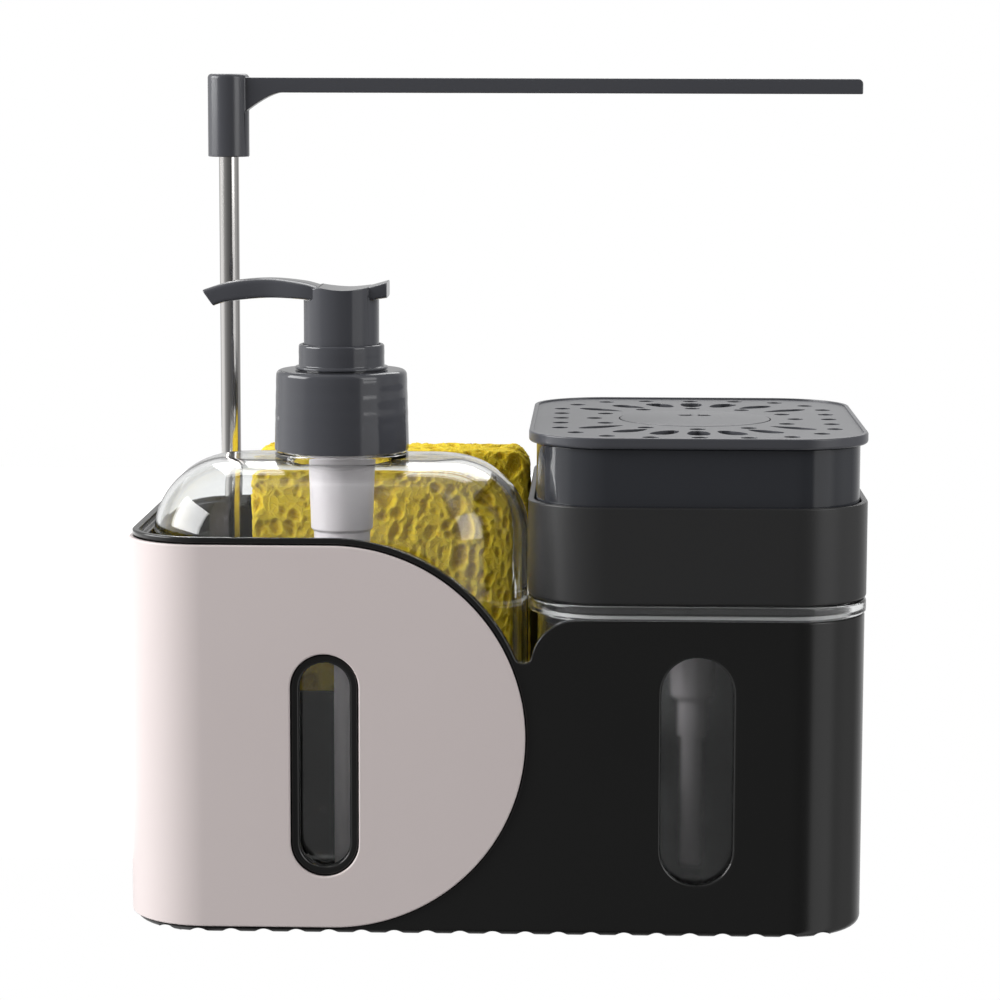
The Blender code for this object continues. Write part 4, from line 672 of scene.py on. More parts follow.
steel = skin_material(
    "polished_steel_skin", (0.66, 0.645, 0.63, 1), (0.58, 0.565, 0.55, 1), 0.07, 0.07, 1500, 0.00001,
    {"Metallic": 1}, DRAWN_SKIN,
)
pole.data.materials.append(steel)
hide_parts("steel_pole")
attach(pole, "caddy")
MILK = (0.66, 0.625, 0.645, 1)
MILK_SHADE = (0.61, 0.575, 0.60, 1)
milky = skin_material(
    "milky_skin", MILK, MILK_SHADE, 0.28, 0.08, 1200, 0.00003,
    {"Subsurface Weight": 0.35, "Subsurface Radius": (0.003, 0.003, 0.003), "Subsurface Scale": 0.5},
)
bush.data.materials.append(milky)
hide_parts("pole_bush")
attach(bush, "caddy")

# The towel arm: a slate grey moulding that drops over the pole's bush and turns on it. A flat rail runs out
# from its round head, and a curved gusset holds it from below.
arm_low, arm_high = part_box("towel_arm")
HEAD_RADIUS = 0.0062
RAIL_TOP = 0.2372
RAIL_LOW = 0.2327
RAIL_DEPTH = 0.0065
GUSSET_RUN = 0.0104
GUSSET_DROP = 0.0056
head_profile = eased(
    [(0, arm_high.z), (HEAD_RADIUS, arm_high.z, 0.0012), (HEAD_RADIUS, arm_low.z, 0.0004), (0, arm_low.z)], 6
)
arm = turned("towel_arm_moulding", head_profile, POLE, 96, closed=False)
tip = (RAIL_TOP - RAIL_LOW) / 3
foot_x = POLE.x + HEAD_RADIUS - 0.0007 + GUSSET_RUN
rail_points = [(POLE.x, RAIL_TOP), *arc((arm_high.x - tip, RAIL_TOP - tip), tip, 90, 0, 8)]
rail_points.append((arm_high.x, RAIL_LOW))
rail_points += [
    (foot_x - GUSSET_RUN * i / 24, RAIL_LOW - GUSSET_DROP * (i / 24) ** 1.45) for i in range(25)
]
rail_points.append((POLE.x, RAIL_LOW - GUSSET_DROP))
rail = slab("rail", rail_points, POLE.y - RAIL_DEPTH / 2, POLE.y + RAIL_DEPTH / 2)
combine(arm, rail, "UNION")
bore(arm, bush_radius + GAP, arm_low.z - BEYOND, bush_high.z + GAP, POLE)
soften(arm, 0.0004, 3)
shade(arm)
SLATE = (0.071, 0.073, 0.083, 1)
SLATE_SHADE = (0.063, 0.065, 0.075, 1)
slate = skin_material("slate_skin", SLATE, SLATE_SHADE, 0.17, 0.08, 2200, 0.00003, {"Specular IOR Level": 0.5})
arm.data.materials.append(slate)
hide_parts("towel_arm")
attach(arm, "arm")

# The left bottle: a clear blow-moulded bottle, probably PET, shaped like a loaf with soft shoulders. A round
# neck with a ring under the thread carries the pump.
left_low, left_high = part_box("left_bottle")
LEFT_TOP = 0.1302
NECK_RING_TOP = LEFT_TOP + 0.0013
SHOULDER = 0.022
BOTTLE_CORNER = 0.028
BOTTLE_FOOT = 0.004
SHELL = 0.0015
PUMP = centre_of("pump_closure")
bottle = rounded_box(
    "left_bottle_shell", *sides(left_low, left_high), (left_low.z, LEFT_TOP),
    corner=BOTTLE_CORNER, top=SHOULDER, foot=BOTTLE_FOOT, steps=20,
)
NECK = 0.0168
MOUTH = 0.0143
neck_profile = eased(
    [(0, left_high.z), (NECK, left_high.z, 0.0004), (NECK, NECK_RING_TOP), (0.019, NECK_RING_TOP, 0.0006),
     (0.019, LEFT_TOP - 0.0007), (0, LEFT_TOP - 0.0007)]
)
combine(bottle, turned("neck", neck_profile, PUMP, 128, closed=False), "UNION")
combine(bottle, rounded_box(
    "hollow", *sides(left_low, left_high, SHELL), (left_low.z + 0.0018, LEFT_TOP - SHELL),
    corner=BOTTLE_CORNER - SHELL, top=SHOULDER - SHELL, foot=BOTTLE_FOOT - SHELL, steps=20,
))
bore(bottle, MOUTH, LEFT_TOP - 2 * SHELL, RIM_Z + 5 * BEYOND, PUMP, 128)
shade(bottle, 30)


def clear_material(name, roughness, tint):
    """Clear plastic that lets the lamps through, with the faint waves that moulding leaves in its wall."""
    made = bpy.data.materials.new(name)
    made.use_nodes = True
    tree = made.node_tree
    surface = tree.nodes["Principled BSDF"]
    values = {"Roughness": roughness, "Spread": 0.02, "Grain Size": 55}
    look = node(tree, "Group", values, node_tree=MOULDED_SKIN).outputs
    relief = node(tree, "Bump", {"Strength": 0.12, "Distance": 0.0006, "Height": look["Height"]})
    feed(tree, surface, {
        "Base Color": tint, "Transmission Weight": 1, "IOR": 1.49, "Roughness": look["Roughness"],
        "Normal": relief.outputs["Normal"],
    })
    shadow = node(tree, "LightPath").outputs["Is Shadow Ray"]
    open_to_lamps = node(tree, "BsdfTransparent")
    choice = node(tree, "MixShader", {"Fac": shadow, 1: surface.outputs[0], 2: open_to_lamps.outputs[0]})
    feed(tree, tree.nodes["Material Output"], {"Surface": choice.outputs[0]})
    return made


clear_bottle = clear_material("clear_bottle_skin", 0.0, (0.97, 0.98, 0.975, 1))
bottle.data.materials.append(clear_bottle)
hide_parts("left_bottle")
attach(bottle, "left_bottle")

# The lotion pump's body: a grey rubber gasket, a milky polypropylene housing that hangs in the bottle, its
# dip tube, and the slate guide ring that keeps the head upright.
rubber = skin_material(
    "seal_rubber_skin", (0.60, 0.60, 0.60, 1), (0.55, 0.55, 0.55, 1), 0.55, 0.1, 900, 0.00005
)


def finish_cad(name, finish):
    """Give a piece that comes from the CAD as it is its material."""
    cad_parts[name].data.materials.clear()
    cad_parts[name].data.materials.append(finish)


finish_cad("neck_gasket", rubber)
housing_low, housing_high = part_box("pump_housing")
tube_low, tube_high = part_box("dip_tube")
GUIDE_RADIUS = 0.0122
FLANGE = 0.0015
flange_radius = NECK - GAP
body_radius = 0.0138
cylinder = 0.0080
ball_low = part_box("inlet_ball")[0].z
seat = ball_low + 0.0006
housing_profile = eased(
    [(flange_radius, housing_high.z), (flange_radius, housing_high.z - FLANGE),
     (body_radius, housing_high.z - FLANGE), (body_radius, LEFT_TOP + 0.006, 0.002),
     (0.0095, LEFT_TOP - GAP, 0.002), (0.0088, 0.1095, 0.0004), (cylinder, 0.1087, 0.0006),
     (cylinder, 0.0848, 0.001), (0.0044, 0.0796, 0.001), (0.0044, housing_low.z, 0.0003),
     (0.0028, housing_low.z), (0.0028, tube_high.z + GAP), (0.0019, tube_high.z + GAP), (0.0019, seat),
     (0.0030, seat), (0.0030, 0.0856), (0.0072, 0.0856), (0.0072, 0.1351), (0.0122, 0.1435),
     (0.0122, housing_high.z)]
)


def straw(radius, low, high):
    """The section of a dip tube."""
    inner = radius - STRAW_WALL
    return eased([(radius, high, 0.0002), (radius, low, 0.0002), (inner, low), (inner, high)])


STRAW_WALL = 0.0008
housing = turned("pump_housing_tube", housing_profile, PUMP, 96)
tube = turned("dip_tube_straw", straw(0.0025, tube_low.z, tube_high.z), PUMP, 48)
for piece, name in ((housing, "pump_housing"), (tube, "dip_tube")):
    shade(piece)
    piece.data.materials.append(milky)
    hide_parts(name)
    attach(piece, "pump")

guide_low, guide_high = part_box("guide_ring")
closure_low, closure_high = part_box("pump_closure")
lip_low = closure_high.z + GAP
lip_high = lip_low + 0.0007
cup = GUIDE_RADIUS - GAP
ring_high = closure_high.z - 0.0018 - GAP
ring_low = ring_high - FLANGE
guide_side = []
for i in range(20):
    down = 0.0009 + 0.0048 * i / 19
    wave = 0.00002 * (math.sin((down - 0.0015) / 0.0032 * 2 * math.pi) - 1)
    guide_side.append((GUIDE_RADIUS + wave, guide_high.z - down))
guide_profile = eased(
    [(GUIDE_RADIUS, guide_high.z, 0.0007), *guide_side, (GUIDE_RADIUS, lip_high, 0.0004),
     (GUIDE_RADIUS + 0.0010, lip_high, 0.0003), (GUIDE_RADIUS + 0.0010, lip_low, 0.0002), (cup, lip_low),
     (cup, ring_high), (flange_radius - 0.00075, ring_high), (flange_radius - 0.00075, ring_low),
     (cup, ring_low), (cup, guide_low.z), (0.0039, guide_low.z), (0.0039, guide_low.z + 0.0014),
     (GUIDE_RADIUS - 0.0011, guide_low.z + 0.0014), (GUIDE_RADIUS - 0.0011, guide_high.z, 0.0003)]
)
guide = turned("guide_ring_moulding", guide_profile, PUMP, 128)
shade(guide)
slate_gloss = skin_material("slate_gloss_skin", SLATE, SLATE_SHADE, 0.05, 0.05, 2200, 0.00001)
guide.data.materials.append(slate_gloss)
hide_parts("guide_ring")
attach(guide, "pump")

# The closure: the slate screw cap that holds the pump down on the bottle's neck. It has a slight taper, faint
# waves in its side that break up a reflection, and a soft top edge.
CAP = 0.01915
cap_inner = CAP - 0.0018
cap_hole = cup + 0.0005
cap_side = []
for i in range(45):
    down = 0.0017 + 0.0158 * i / 44
    wave = 0.00003 * math.sin((down - 0.0019) / 0.0046 * 2 * math.pi) * min(1.0, 4 * (1 - i / 44))
    taper = 0.0006 * (1 - down / (closure_high.z - closure_low.z))
    cap_side.append((CAP - taper + wave, closure_high.z - down))
closure_profile = eased(
    [(CAP - 0.0006, closure_high.z, 0.0015), *cap_side, (CAP, closure_low.z, 0.0003), (cap_inner, closure_low.z),
     (cap_inner, closure_high.z - 0.0018), (cap_hole, closure_high.z - 0.0018), (cap_hole, closure_high.z)], 8
)
closure = turned("pump_closure_cap", closure_profile, PUMP, 160)
shade(closure)
closure.data.materials.append(slate_gloss)
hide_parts("pump_closure")
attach(closure, "closure")

# The pump's inner works: the milky piston rod with its rubber seal, two steel valve balls and the steel
# return spring, which in the real pump gets shorter as the head is pressed. All but the spring come from the CAD
# as they are.
spring_steel = skin_material(
    "spring_steel_skin", (0.52, 0.52, 0.54, 1), (0.42, 0.42, 0.44, 1), 0.2, 0.1, 1800, 0.00001,
    {"Metallic": 1}, DRAWN_SKIN,
)
finish_cad("inlet_ball", steel)
finish_cad("outlet_ball", steel)
finish_cad("piston_rod", milky)
finish_cad("piston_seal", rubber)


def spring(name, cad_name, wire, curls, axis, body):
    """A coil wound from a wire circle."""
    low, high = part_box(cad_name)
    bpy.ops.object.select_all(action="DESELECT")
    bpy.ops.mesh.primitive_circle_add(
        vertices=12, radius=wire, location=((high.x - low.x) / 2 - wire, 0, 0), rotation=(math.pi / 2, 0, 0),
    )
    made = settle(name)
    modify(
        made, "SCREW", angle=2 * math.pi * curls, screw_offset=high.z - low.z - 2 * wire, steps=32 * curls,
        render_steps=32 * curls,
    )
    bpy.ops.object.mode_set(mode="EDIT")
    bpy.ops.mesh.select_all(action="SELECT")
    bpy.ops.mesh.fill_holes(sides=0)
    bpy.ops.transform.translate(value=(axis.x, axis.y, low.z + wire))
    close_up()
    shade(made, 60)
    made.data.materials.append(spring_steel)
    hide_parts(cad_name)
    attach(made, body)
    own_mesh(made)


spring("pump_spring_coil", "pump_spring", 0.00045, 7, PUMP, "pump")

# The pump head: a slate moulding with a round skirt and a long curved spout. A thumb saddle with a raised grip
# is pressed to pump, and the spout's tip is cut at a slant.
head_low, head_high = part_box("pump_head")
HEAD_BASE = 0.1753
SKIRT = 0.0107
STATIONS = (
    (-0.0394, 0.0020, 0.0045, 0.0030), (-0.0307, 0.0046, 0.0056, 0.0036), (-0.0205, 0.0055, 0.0056, 0.0044),
    (-0.0107, 0.0046, 0.0050, 0.0072), (-0.0048, 0.0031, 0.0042, 0.0078), (0.0013, 0.0025, 0.0033, 0.0074),
    (0.0066, 0.0030, 0.0036, 0.0070), (0.0102, 0.0039, 0.0042, 0.0070), (0.0133, 0.0048, 0.0047, 0.0066),
)
skirt_bore = SKIRT - 0.0013
socket_radius = 0.0052
head_profile = eased(
    [(0, head_high.z), (SKIRT, head_high.z), (SKIRT, head_low.z, 0.0003),
     (skirt_bore, head_low.z), (skirt_bore, HEAD_BASE - 0.0018), (socket_radius, HEAD_BASE - 0.0018),
     (socket_radius, head_low.z + FLANGE), (0.0039, head_low.z + FLANGE), (0.0039, HEAD_BASE - 0.0036),
     (0, HEAD_BASE - 0.0036)]
)
head = turned("pump_head_moulding", head_profile, PUMP, 128, closed=False)


def through_stations(count):
    """Rows on a smooth curve through the spout's stations."""
    last = len(STATIONS) - 1
    for i in range(count + 1):
        spot = i * last / count
        k = min(int(spot), last - 1)
        t = spot - k
        near = (STATIONS[max(0, min(last, k + n))] for n in (-1, 0, 1, 2))
        yield [
            q + t / 2 * (r - p + t * (2 * p - 5 * q + 4 * r - s + t * (3 * (q - r) + s - p)))
            for p, q, r, s in zip(*near)
        ]


saddle = []
for x, rise, height, half in through_stations(80):
    if abs(x) < 0.0128:
        buried = min(1.0, max(0.0, (abs(x - 0.0008) - 0.0070) / 0.0016))
        saddle.append((PUMP.x + x, HEAD_BASE + rise + 0.00005 - 0.0014 * buried))
above = HEAD_BASE + BEYOND
combine(head, slab(
    "saddle", [*saddle, (saddle[-1][0], above), (saddle[0][0], above)], PUMP.y - BEYOND, PUMP.y + BEYOND,
))

AROUND = 48
ROWS = 80
bpy.ops.object.select_all(action="DESELECT")
bpy.ops.mesh.primitive_circle_add(vertices=AROUND, radius=0.003, fill_type="NGON")
spout = bpy.context.object
spout.name = "spout"


def squared(value, power):
    """A cosine or sine bent towards a square: the lower the power, the squarer the section."""
    return math.copysign(abs(value) ** power, value)


turns = spout.data.attributes.new("turn", "FLOAT", "POINT")
for vertex, turn in zip(spout.data.vertices, turns.data):
    turn.value = math.atan2(vertex.co.y, vertex.co.x)
bpy.ops.object.mode_set(mode="EDIT")
bpy.ops.mesh.select_mode(type="VERT")
bpy.ops.mesh.select_all(action="SELECT")
for number, (x, rise, height, half) in enumerate(through_stations(ROWS)):
    if number:
        bpy.ops.mesh.extrude_region_move(TRANSFORM_OT_translate={"value": (0, 0, 0.0001)})
    shape = bmesh.from_edit_mesh(spout.data)
    turn = shape.verts.layers.float["turn"]
    for vertex in shape.verts:
        if not vertex.select:
            continue
        below = math.sin(vertex[turn]) < 0
        across = squared(math.cos(vertex[turn]), 0.30 if below or number > ROWS * 0.45 else 0.42)
        up = squared(math.sin(vertex[turn]), 0.36 if below else 0.16 if number > ROWS * 0.55 else 0.42)
        slant = 0.0032 * (1 - up) / 2 * max(0.0, 1 - number / 8)
        middle = HEAD_BASE + rise - height / 2
        vertex.co = (PUMP.x + x + slant, PUMP.y + half * across, middle + height / 2 * up)
    bmesh.update_edit_mesh(spout.data)
close_up()
combine(head, spout, "UNION")
soften(head, 0.0003, 3, 50)

PAD_REACH = (0.0078, 0.0086)
PAD_WAVES = (0.0017, 0.0034)
pad_middle = Vector((PUMP.x + 0.0019, PUMP.y))
bpy.ops.object.select_all(action="DESELECT")
bpy.ops.mesh.primitive_grid_add(
    x_subdivisions=110, y_subdivisions=90, size=1, location=(*pad_middle, HEAD_BASE + 0.03),
    scale=(0.0162, 0.0180, 1),
)
pad = settle("grip_pad")


def pad_spot(place):
    """How far a point lies from the grip pad's middle: 1 on its oval edge."""
    return math.hypot((place.x - pad_middle.x) / PAD_REACH[0], (place.y - pad_middle.y) / PAD_REACH[1])


bpy.ops.object.mode_set(mode="EDIT")
pick(pad, "VERT", lambda vertex: pad_spot(vertex.co) > 1)
bpy.ops.mesh.delete(type="VERT")
bpy.ops.object.mode_set(mode="OBJECT")
modify(
    pad, "SHRINKWRAP", wrap_method="PROJECT", use_project_z=True, use_negative_direction=True,
    use_positive_direction=False, target=head,
)
for vertex in pad.data.vertices:
    edge = min(1.0, (1 - pad_spot(vertex.co)) / 0.10)
    along = (vertex.co.x - pad_middle.x) / PAD_WAVES[0] * 2 * math.pi
    across = (vertex.co.y - pad_middle.y) / PAD_WAVES[1] * 2 * math.pi
    ribs = 0.5 + 0.5 * math.sin(along + 1.4 * math.sin(across))
    vertex.co.z += 0.00006 + edge * (0.00008 + 0.00042 * ribs)
modify(pad, "SOLIDIFY", thickness=0.0007, offset=-1)
bpy.ops.object.mode_set(mode="EDIT")
close_up()
bpy.ops.object.select_all(action="DESELECT")
pad.select_set(True)
head.select_set(True)
bpy.context.view_layer.objects.active = head
bpy.ops.object.join()
shade(head, 40)
head.data.materials.append(slate_gloss)
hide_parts("pump_head")
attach(head, "pump_head")

# The right bottle: a clear open-topped tub with a flange that rests on the caddy's lower walls, so that it
# hangs in the right bay. The collar of the press-plate pump plugs its mouth.
RIGHT = Vector((RIGHT_X, 0, 0))
FLANGE_TOP = right_high.z
FLANGE_LOW = FLANGE_TOP - 0.004
UNIT_CORNER = 0.022
EDGE = 0.0009


def in_bay(name, inset, z, **rounds):
    """A block that fits in the right bay at an inset."""
    side = HALF_DEPTH - PROUD - THIN_WALL - inset
    x = (DIVIDER_X + DIVIDER / 2 + inset, MIDDLE_X + HALF_WIDTH - THIN_WALL - inset)
    return rounded_box(name, x, (-side, side), z, corner=CORNER - PROUD - THIN_WALL - inset, **rounds)


tub = rounded_box(
    "right_bottle_tub", *sides(right_low, right_high), (FLANGE_LOW, FLANGE_TOP), corner=UNIT_CORNER, top=EDGE,
    foot=EDGE, steps=20,
)
combine(tub, in_bay("tub_body", 0.0005, (right_low.z, FLANGE_LOW + 0.002), foot=0.004, steps=20), "UNION")
combine(tub, in_bay("tub_hollow", 0.002, (right_low.z + 0.0018, RIM_Z), foot=0.0025, steps=20))
shade(tub, 30)
clear_tub = clear_material("clear_tub_skin", 0.10, (0.88, 0.89, 0.89, 1))
tub.data.materials.append(clear_tub)
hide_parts("right_bottle")
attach(tub, "right_bottle")

# The drip collar: a black satin box that sits on the tub's flange. Its floor carries the pump, and its plug
# and a rubber ring close the tub's mouth.
collar_low, collar_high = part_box("drip_collar")
COLLAR_FOOT = FLANGE_TOP + GAP
collar = rounded_box(
    "drip_collar_box", *sides(right_low, right_high), (COLLAR_FOOT, collar_high.z), corner=UNIT_CORNER, foot=EDGE,
    steps=20,
)
combine(collar, in_bay("plug", 0.0025, (collar_low.z, COLLAR_FOOT + 0.002 + GAP)), "UNION")
combine(collar, in_bay("under", 0.0047, (collar_low.z - BEYOND, COLLAR_FOOT + 0.002)))
COLLAR_WALL = 0.0018
combine(collar, rounded_box(
    "well", *sides(right_low, right_high, COLLAR_WALL), (COLLAR_FOOT + 0.004, RIM_Z + 2 * BEYOND),
    corner=UNIT_CORNER - COLLAR_WALL, steps=20,
))
bore(collar, 0.0091, 0.07, RIM_Z + BEYOND, RIGHT)
seal_low, seal_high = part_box("collar_seal")
groove = in_bay("groove", 0.0005, (seal_low.z - GAP, seal_high.z + GAP))
combine(groove, in_bay("groove_back", 0.0035, (0, RIM_Z)))
combine(collar, groove)
soften(collar, 0.0004, 3)
shade(collar)
charcoal = skin_material(
    "charcoal_satin_skin", (0.026, 0.026, 0.027, 1), (0.029, 0.029, 0.029, 1), 0.27, 0.06, 2400, 0.00004,
    {"Specular IOR Level": 0.42},
)
collar.data.materials.append(charcoal)
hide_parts("drip_collar")
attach(collar, "plate_pump")
finish_cad("collar_seal", rubber)

# The plate pump's body: a milky housing that hangs from the collar's floor, its nut below and guide above, and
# the dip tube. The ball, nut, guide, stem and piston are the CAD's own.
ph_low, ph_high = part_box("plate_pump_housing")
pt_low, pt_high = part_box("plate_dip_tube")
plate_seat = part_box("plate_inlet_ball")[0].z + 0.0006
plate_housing_profile = eased(
    [(0.0120, ph_high.z, 0.0003), (0.0120, ph_high.z - FLANGE), (0.0088, ph_high.z - FLANGE),
     (0.0088, 0.0898, 0.0006), (0.0062, 0.0872, 0.0006), (0.0062, 0.0580, 0.0005), (0.0041, 0.0565, 0.0005),
     (0.0041, ph_low.z, 0.0003), (0.0033, ph_low.z), (0.0033, pt_high.z + GAP), (0.0019, pt_high.z + GAP),
     (0.0019, plate_seat), (0.0030, plate_seat), (0.0030, 0.0640), (0.0052, 0.0640), (0.0052, 0.0950),
     (0.0073, 0.0950), (0.0073, ph_high.z)]
)
plate_housing = turned("plate_pump_housing_tube", plate_housing_profile, RIGHT, 96)
plate_tube = turned("plate_dip_tube_straw", straw(0.0030, pt_low.z, pt_high.z), RIGHT, 48)
for piece, name in ((plate_housing, "plate_pump_housing"), (plate_tube, "plate_dip_tube")):
    shade(piece)
    piece.data.materials.append(milky)
    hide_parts(name)
    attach(piece, "plate_pump")
for name in ("plate_pump_guide", "plate_pump_nut", "press_stem"):
    finish_cad(name, milky)
finish_cad("plate_inlet_ball", steel)
finish_cad("press_piston", rubber)
spring("plate_pump_spring_coil", "plate_pump_spring", 0.0006, 4, RIGHT, "plate_pump")

# The press top's skirt: a glossy black wall that slides inside the collar, with a shallow tray that leads soap
# back down to the middle.
skirt_low, skirt_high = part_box("press_skirt")
SKIRT_CORNER = UNIT_CORNER - COLLAR_WALL - 0.0005
TRAY_TOP = skirt_high.z - 0.0092
TRAY_LOW = TRAY_TOP - 0.0015
skirt = rounded_box(
    "press_skirt_wall", *sides(skirt_low, skirt_high), (skirt_low.z, skirt_high.z), corner=SKIRT_CORNER, steps=20
)
for low, high in ((TRAY_TOP, RIM_Z + 2 * BEYOND), (RIM_Z - BEYOND, TRAY_LOW)):
    combine(skirt, rounded_box(
        "inner", *sides(skirt_low, skirt_high, SHELL), (low, high), corner=SKIRT_CORNER - SHELL, steps=20
    ))
spout_bore = 0.0026 + GAP + 0.0015 + GAP
spout_ring = [
    (0, TRAY_TOP + 0.003), (spout_bore + 0.0015, TRAY_TOP + 0.003), (spout_bore + 0.0015, TRAY_LOW + GAP),
    (0, TRAY_LOW + GAP),
]
combine(skirt, turned("tray_spout", spout_ring, RIGHT, 64, closed=False), "UNION")
bore(skirt, spout_bore, 0.09, 0.16, RIGHT)
soften(skirt, 0.0002)
shade(skirt)
black_gloss = skin_material(
    "black_gloss_skin", (0.031, 0.033, 0.039, 1), (0.034, 0.036, 0.042, 1), 0.06, 0.05, 1500, 0.00001
)
skirt.data.materials.append(black_gloss)
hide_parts("press_skirt")
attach(skirt, "press_top")

# The press plate: a slate moulding that is pushed down with the sponge or a hand. Its top is sunk inside a low
# border. Two rings of round holes and a ring of leaf-shaped slots let soap run back into the tray.
plate_low, plate_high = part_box("press_plate")
PLATE_HALF = (plate_high.x - plate_low.x) / 2
DOME = 0.0217
HOLE = 0.0023
RECESS = 0.0005
BORDER_WIDTH = 0.0013
THROUGH = (0.12, 0.16)
plate = rounded_box(
    "press_plate_cover", *sides(plate_low, plate_high), (plate_low.z, plate_high.z), corner=UNIT_CORNER,
    top=0.0005, foot=EDGE, steps=20,
)
combine(plate, rounded_box(
    "recess", *sides(plate_low, plate_high, BORDER_WIDTH), (plate_high.z - RECESS, plate_high.z + BEYOND),
    corner=UNIT_CORNER - BORDER_WIDTH, steps=20,
))


def polar(radius, angle):
    """A point at a radius and an angle in degrees."""
    return radius * math.cos(math.radians(angle)), radius * math.sin(math.radians(angle))


def mirrored_places(points):
    """The same points on all four quarters of the plate, each place once."""
    return sorted({(round(sx * x, 6), round(sy * y, 6)) for x, y in points for sx in (1, -1) for sy in (1, -1)})


def leaf(start, end, width, point, steps=14):
    """A drop-shaped slot between two points, wider towards its outer end and more or less pointed."""
    run = Vector(end) - Vector(start)
    aside = Vector((-run.y, run.x)).normalized()
    points = []
    for side in (1, -1):
        for i in range(steps):
            t = i / steps if side > 0 else 1 - i / steps
            bulge = side * width / 2 * math.sin(math.pi * t ** 1.35) ** point
            points.append(tuple(Vector(start) + run * t + aside * bulge + Vector((RIGHT_X, 0))))
    return points


side_x = PLATE_HALF - 0.0085
end_y = HALF_DEPTH - 0.0078
quarter = [(side_x, i * 0.0133) for i in range(3)]
quarter += [(side_x - 0.0045, HALF_DEPTH - 0.0195), (0.0255, end_y - 0.003), (0.0135, end_y), (0, end_y)]
quarter += [polar(DOME + 0.0074, angle) for angle in (0, 27, 60, 90)]
drills = []
for x, y in mirrored_places(quarter):
    bpy.ops.object.select_all(action="DESELECT")
    bpy.ops.mesh.primitive_cylinder_add(
        vertices=28, radius=HOLE, depth=BEYOND, location=(RIGHT_X + x, y, plate_high.z),
    )
    drills.append(bpy.context.object)
for drill in drills:
    drill.select_set(True)
bpy.context.view_layer.objects.active = drills[0]
bpy.ops.object.join()
combine(plate, settle("drills"))
leaves = (
    (0.0069, 43.7, 38.7, 0.0056, 0.6), (0.0108, 64.1, 57, 0.0062, 0.5), (0.0112, 78.5, 74, 0.0068, 0.32),
    (0.0115, 90, 90, 0.0064, 0.28),
)
for offset, angle, end_angle, leaf_width, point in leaves:
    start = polar(DOME + offset, angle)
    across, along = polar(1, end_angle)
    end = ((PLATE_HALF - 0.0042) * across, (HALF_DEPTH - 0.0128) * along)
    for sx, sy in mirrored_places([(1, 1)]):
        if angle == 90 and sx < 0:
            continue
        outline = leaf((sx * start[0], sy * start[1]), (sx * end[0], sy * end[1]), leaf_width, point)
        combine(plate, slab("leaf", outline, plate_low.z - 0.005, plate_high.z + 0.005, upright=False))
bore(plate, DOME + GAP, *THROUGH, RIGHT, 128)
soften(plate, 0.00012)
shade(plate)
slate_satin = skin_material("slate_satin_skin", SLATE, SLATE_SHADE, 0.26, 0.06, 2200, 0.00003)
plate.data.materials.append(slate_satin)
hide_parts("press_plate")
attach(plate, "press_top")

# The outlet dome: a shallow slate cap in the middle of the plate. Soap comes out of two small openings in it,
# and the stem fits in the socket below.
dome_low, dome_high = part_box("outlet_dome")
DOME_RISE = 0.0009
edge_z = dome_high.z - DOME_RISE - 0.0001
crown = (DOME ** 2 + DOME_RISE ** 2) / (2 * DOME_RISE)
half_angle = math.degrees(math.asin(DOME / crown))
cap_line = arc((0, edge_z + DOME_RISE - crown), crown, 90, 90 - half_angle, 16)
flange_top = plate_low.z - GAP
flange_low = flange_top - FLANGE
stem_socket = 0.0026 + GAP + 0.0015
dome_profile = cap_line + [
    (DOME, flange_top), (DOME + 0.0025, flange_top), (DOME + 0.0025, flange_low), (stem_socket, flange_low),
    (stem_socket, dome_low.z), (0.0029, dome_low.z), (0.0029, flange_low), (0, flange_low),
]
dome = turned("outlet_dome_cap", dome_profile, RIGHT, 128, closed=False)
wedge = [(-0.0052, 0.0006), (-0.0040, -0.0016), (-0.0008, -0.0018), (-0.0012, 0.0016), (-0.0040, 0.0018)]
for outlet in (wedge, [(-x, y) for x, y in reversed(wedge)]):
    outline = [(RIGHT_X + x, y) for x, y in outlet]
    combine(dome, slab("outlet", outline, edge_z - 0.0026, dome_high.z + 0.001, upright=False))
soften(dome, 0.00015)
shade(dome)
dome.data.materials.append(slate_satin)
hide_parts("outlet_dome")
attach(dome, "press_top")

# The sponge: a block of yellow cellulose foam that stands in its slot behind the left bottle. Its faces show
# open round and oval cells of three sizes with a raised lip, and a raised web between them. The cells' floors
# are painted darker as painted shade, and the web is painted paler as a painted highlight.
SPONGE_VOXEL = 0.00062
SPONGE_ROUND = 0.0026
sponge = rounded_box("sponge_foam", *sides(sponge_low, sponge_high), (sponge_low.z, sponge_high.z))


def along_depth(edge):
    """A test for the edges that run from front to back."""
    return abs(edge.verts[0].co.y - edge.verts[1].co.y) > 0.01


round_where(sponge, along_depth, 0.0062, 10)
round_where(
    sponge,
    lambda edge: all(abs(v.co.y - sponge_low.y) < 1e-6 for v in edge.verts)
    or all(abs(v.co.y - sponge_high.y) < 1e-6 for v in edge.verts),
    SPONGE_ROUND, 5,
)
sponge.data.remesh_voxel_size = SPONGE_VOXEL
sponge.data.remesh_voxel_adaptivity = 0
only(sponge)
bpy.ops.object.voxel_remesh()


def pore(place, size, seed, share):
    """One size of open cell: how deep it is here, 1 on its floor and 0 outside, and how near its raised lip is."""
    warp = noise.noise_vector(place / size + Vector((seed, 0, 0))) * 0.28
    spot = Vector((place.x, place.y, place.z * 0.72)) / size + warp + Vector((0, seed, 0))
    distances, points = noise.voronoi(spot)
    if abs(noise.cell(points[0] * 7.3)) > share:
        return 0.0, 0.0
    depth = min(1.0, max(0.0, (0.46 - distances[0]) * 5.5))
    return depth * depth * (3 - 2 * depth), max(0.0, 1 - abs(distances[0] - 0.46) / 0.15)


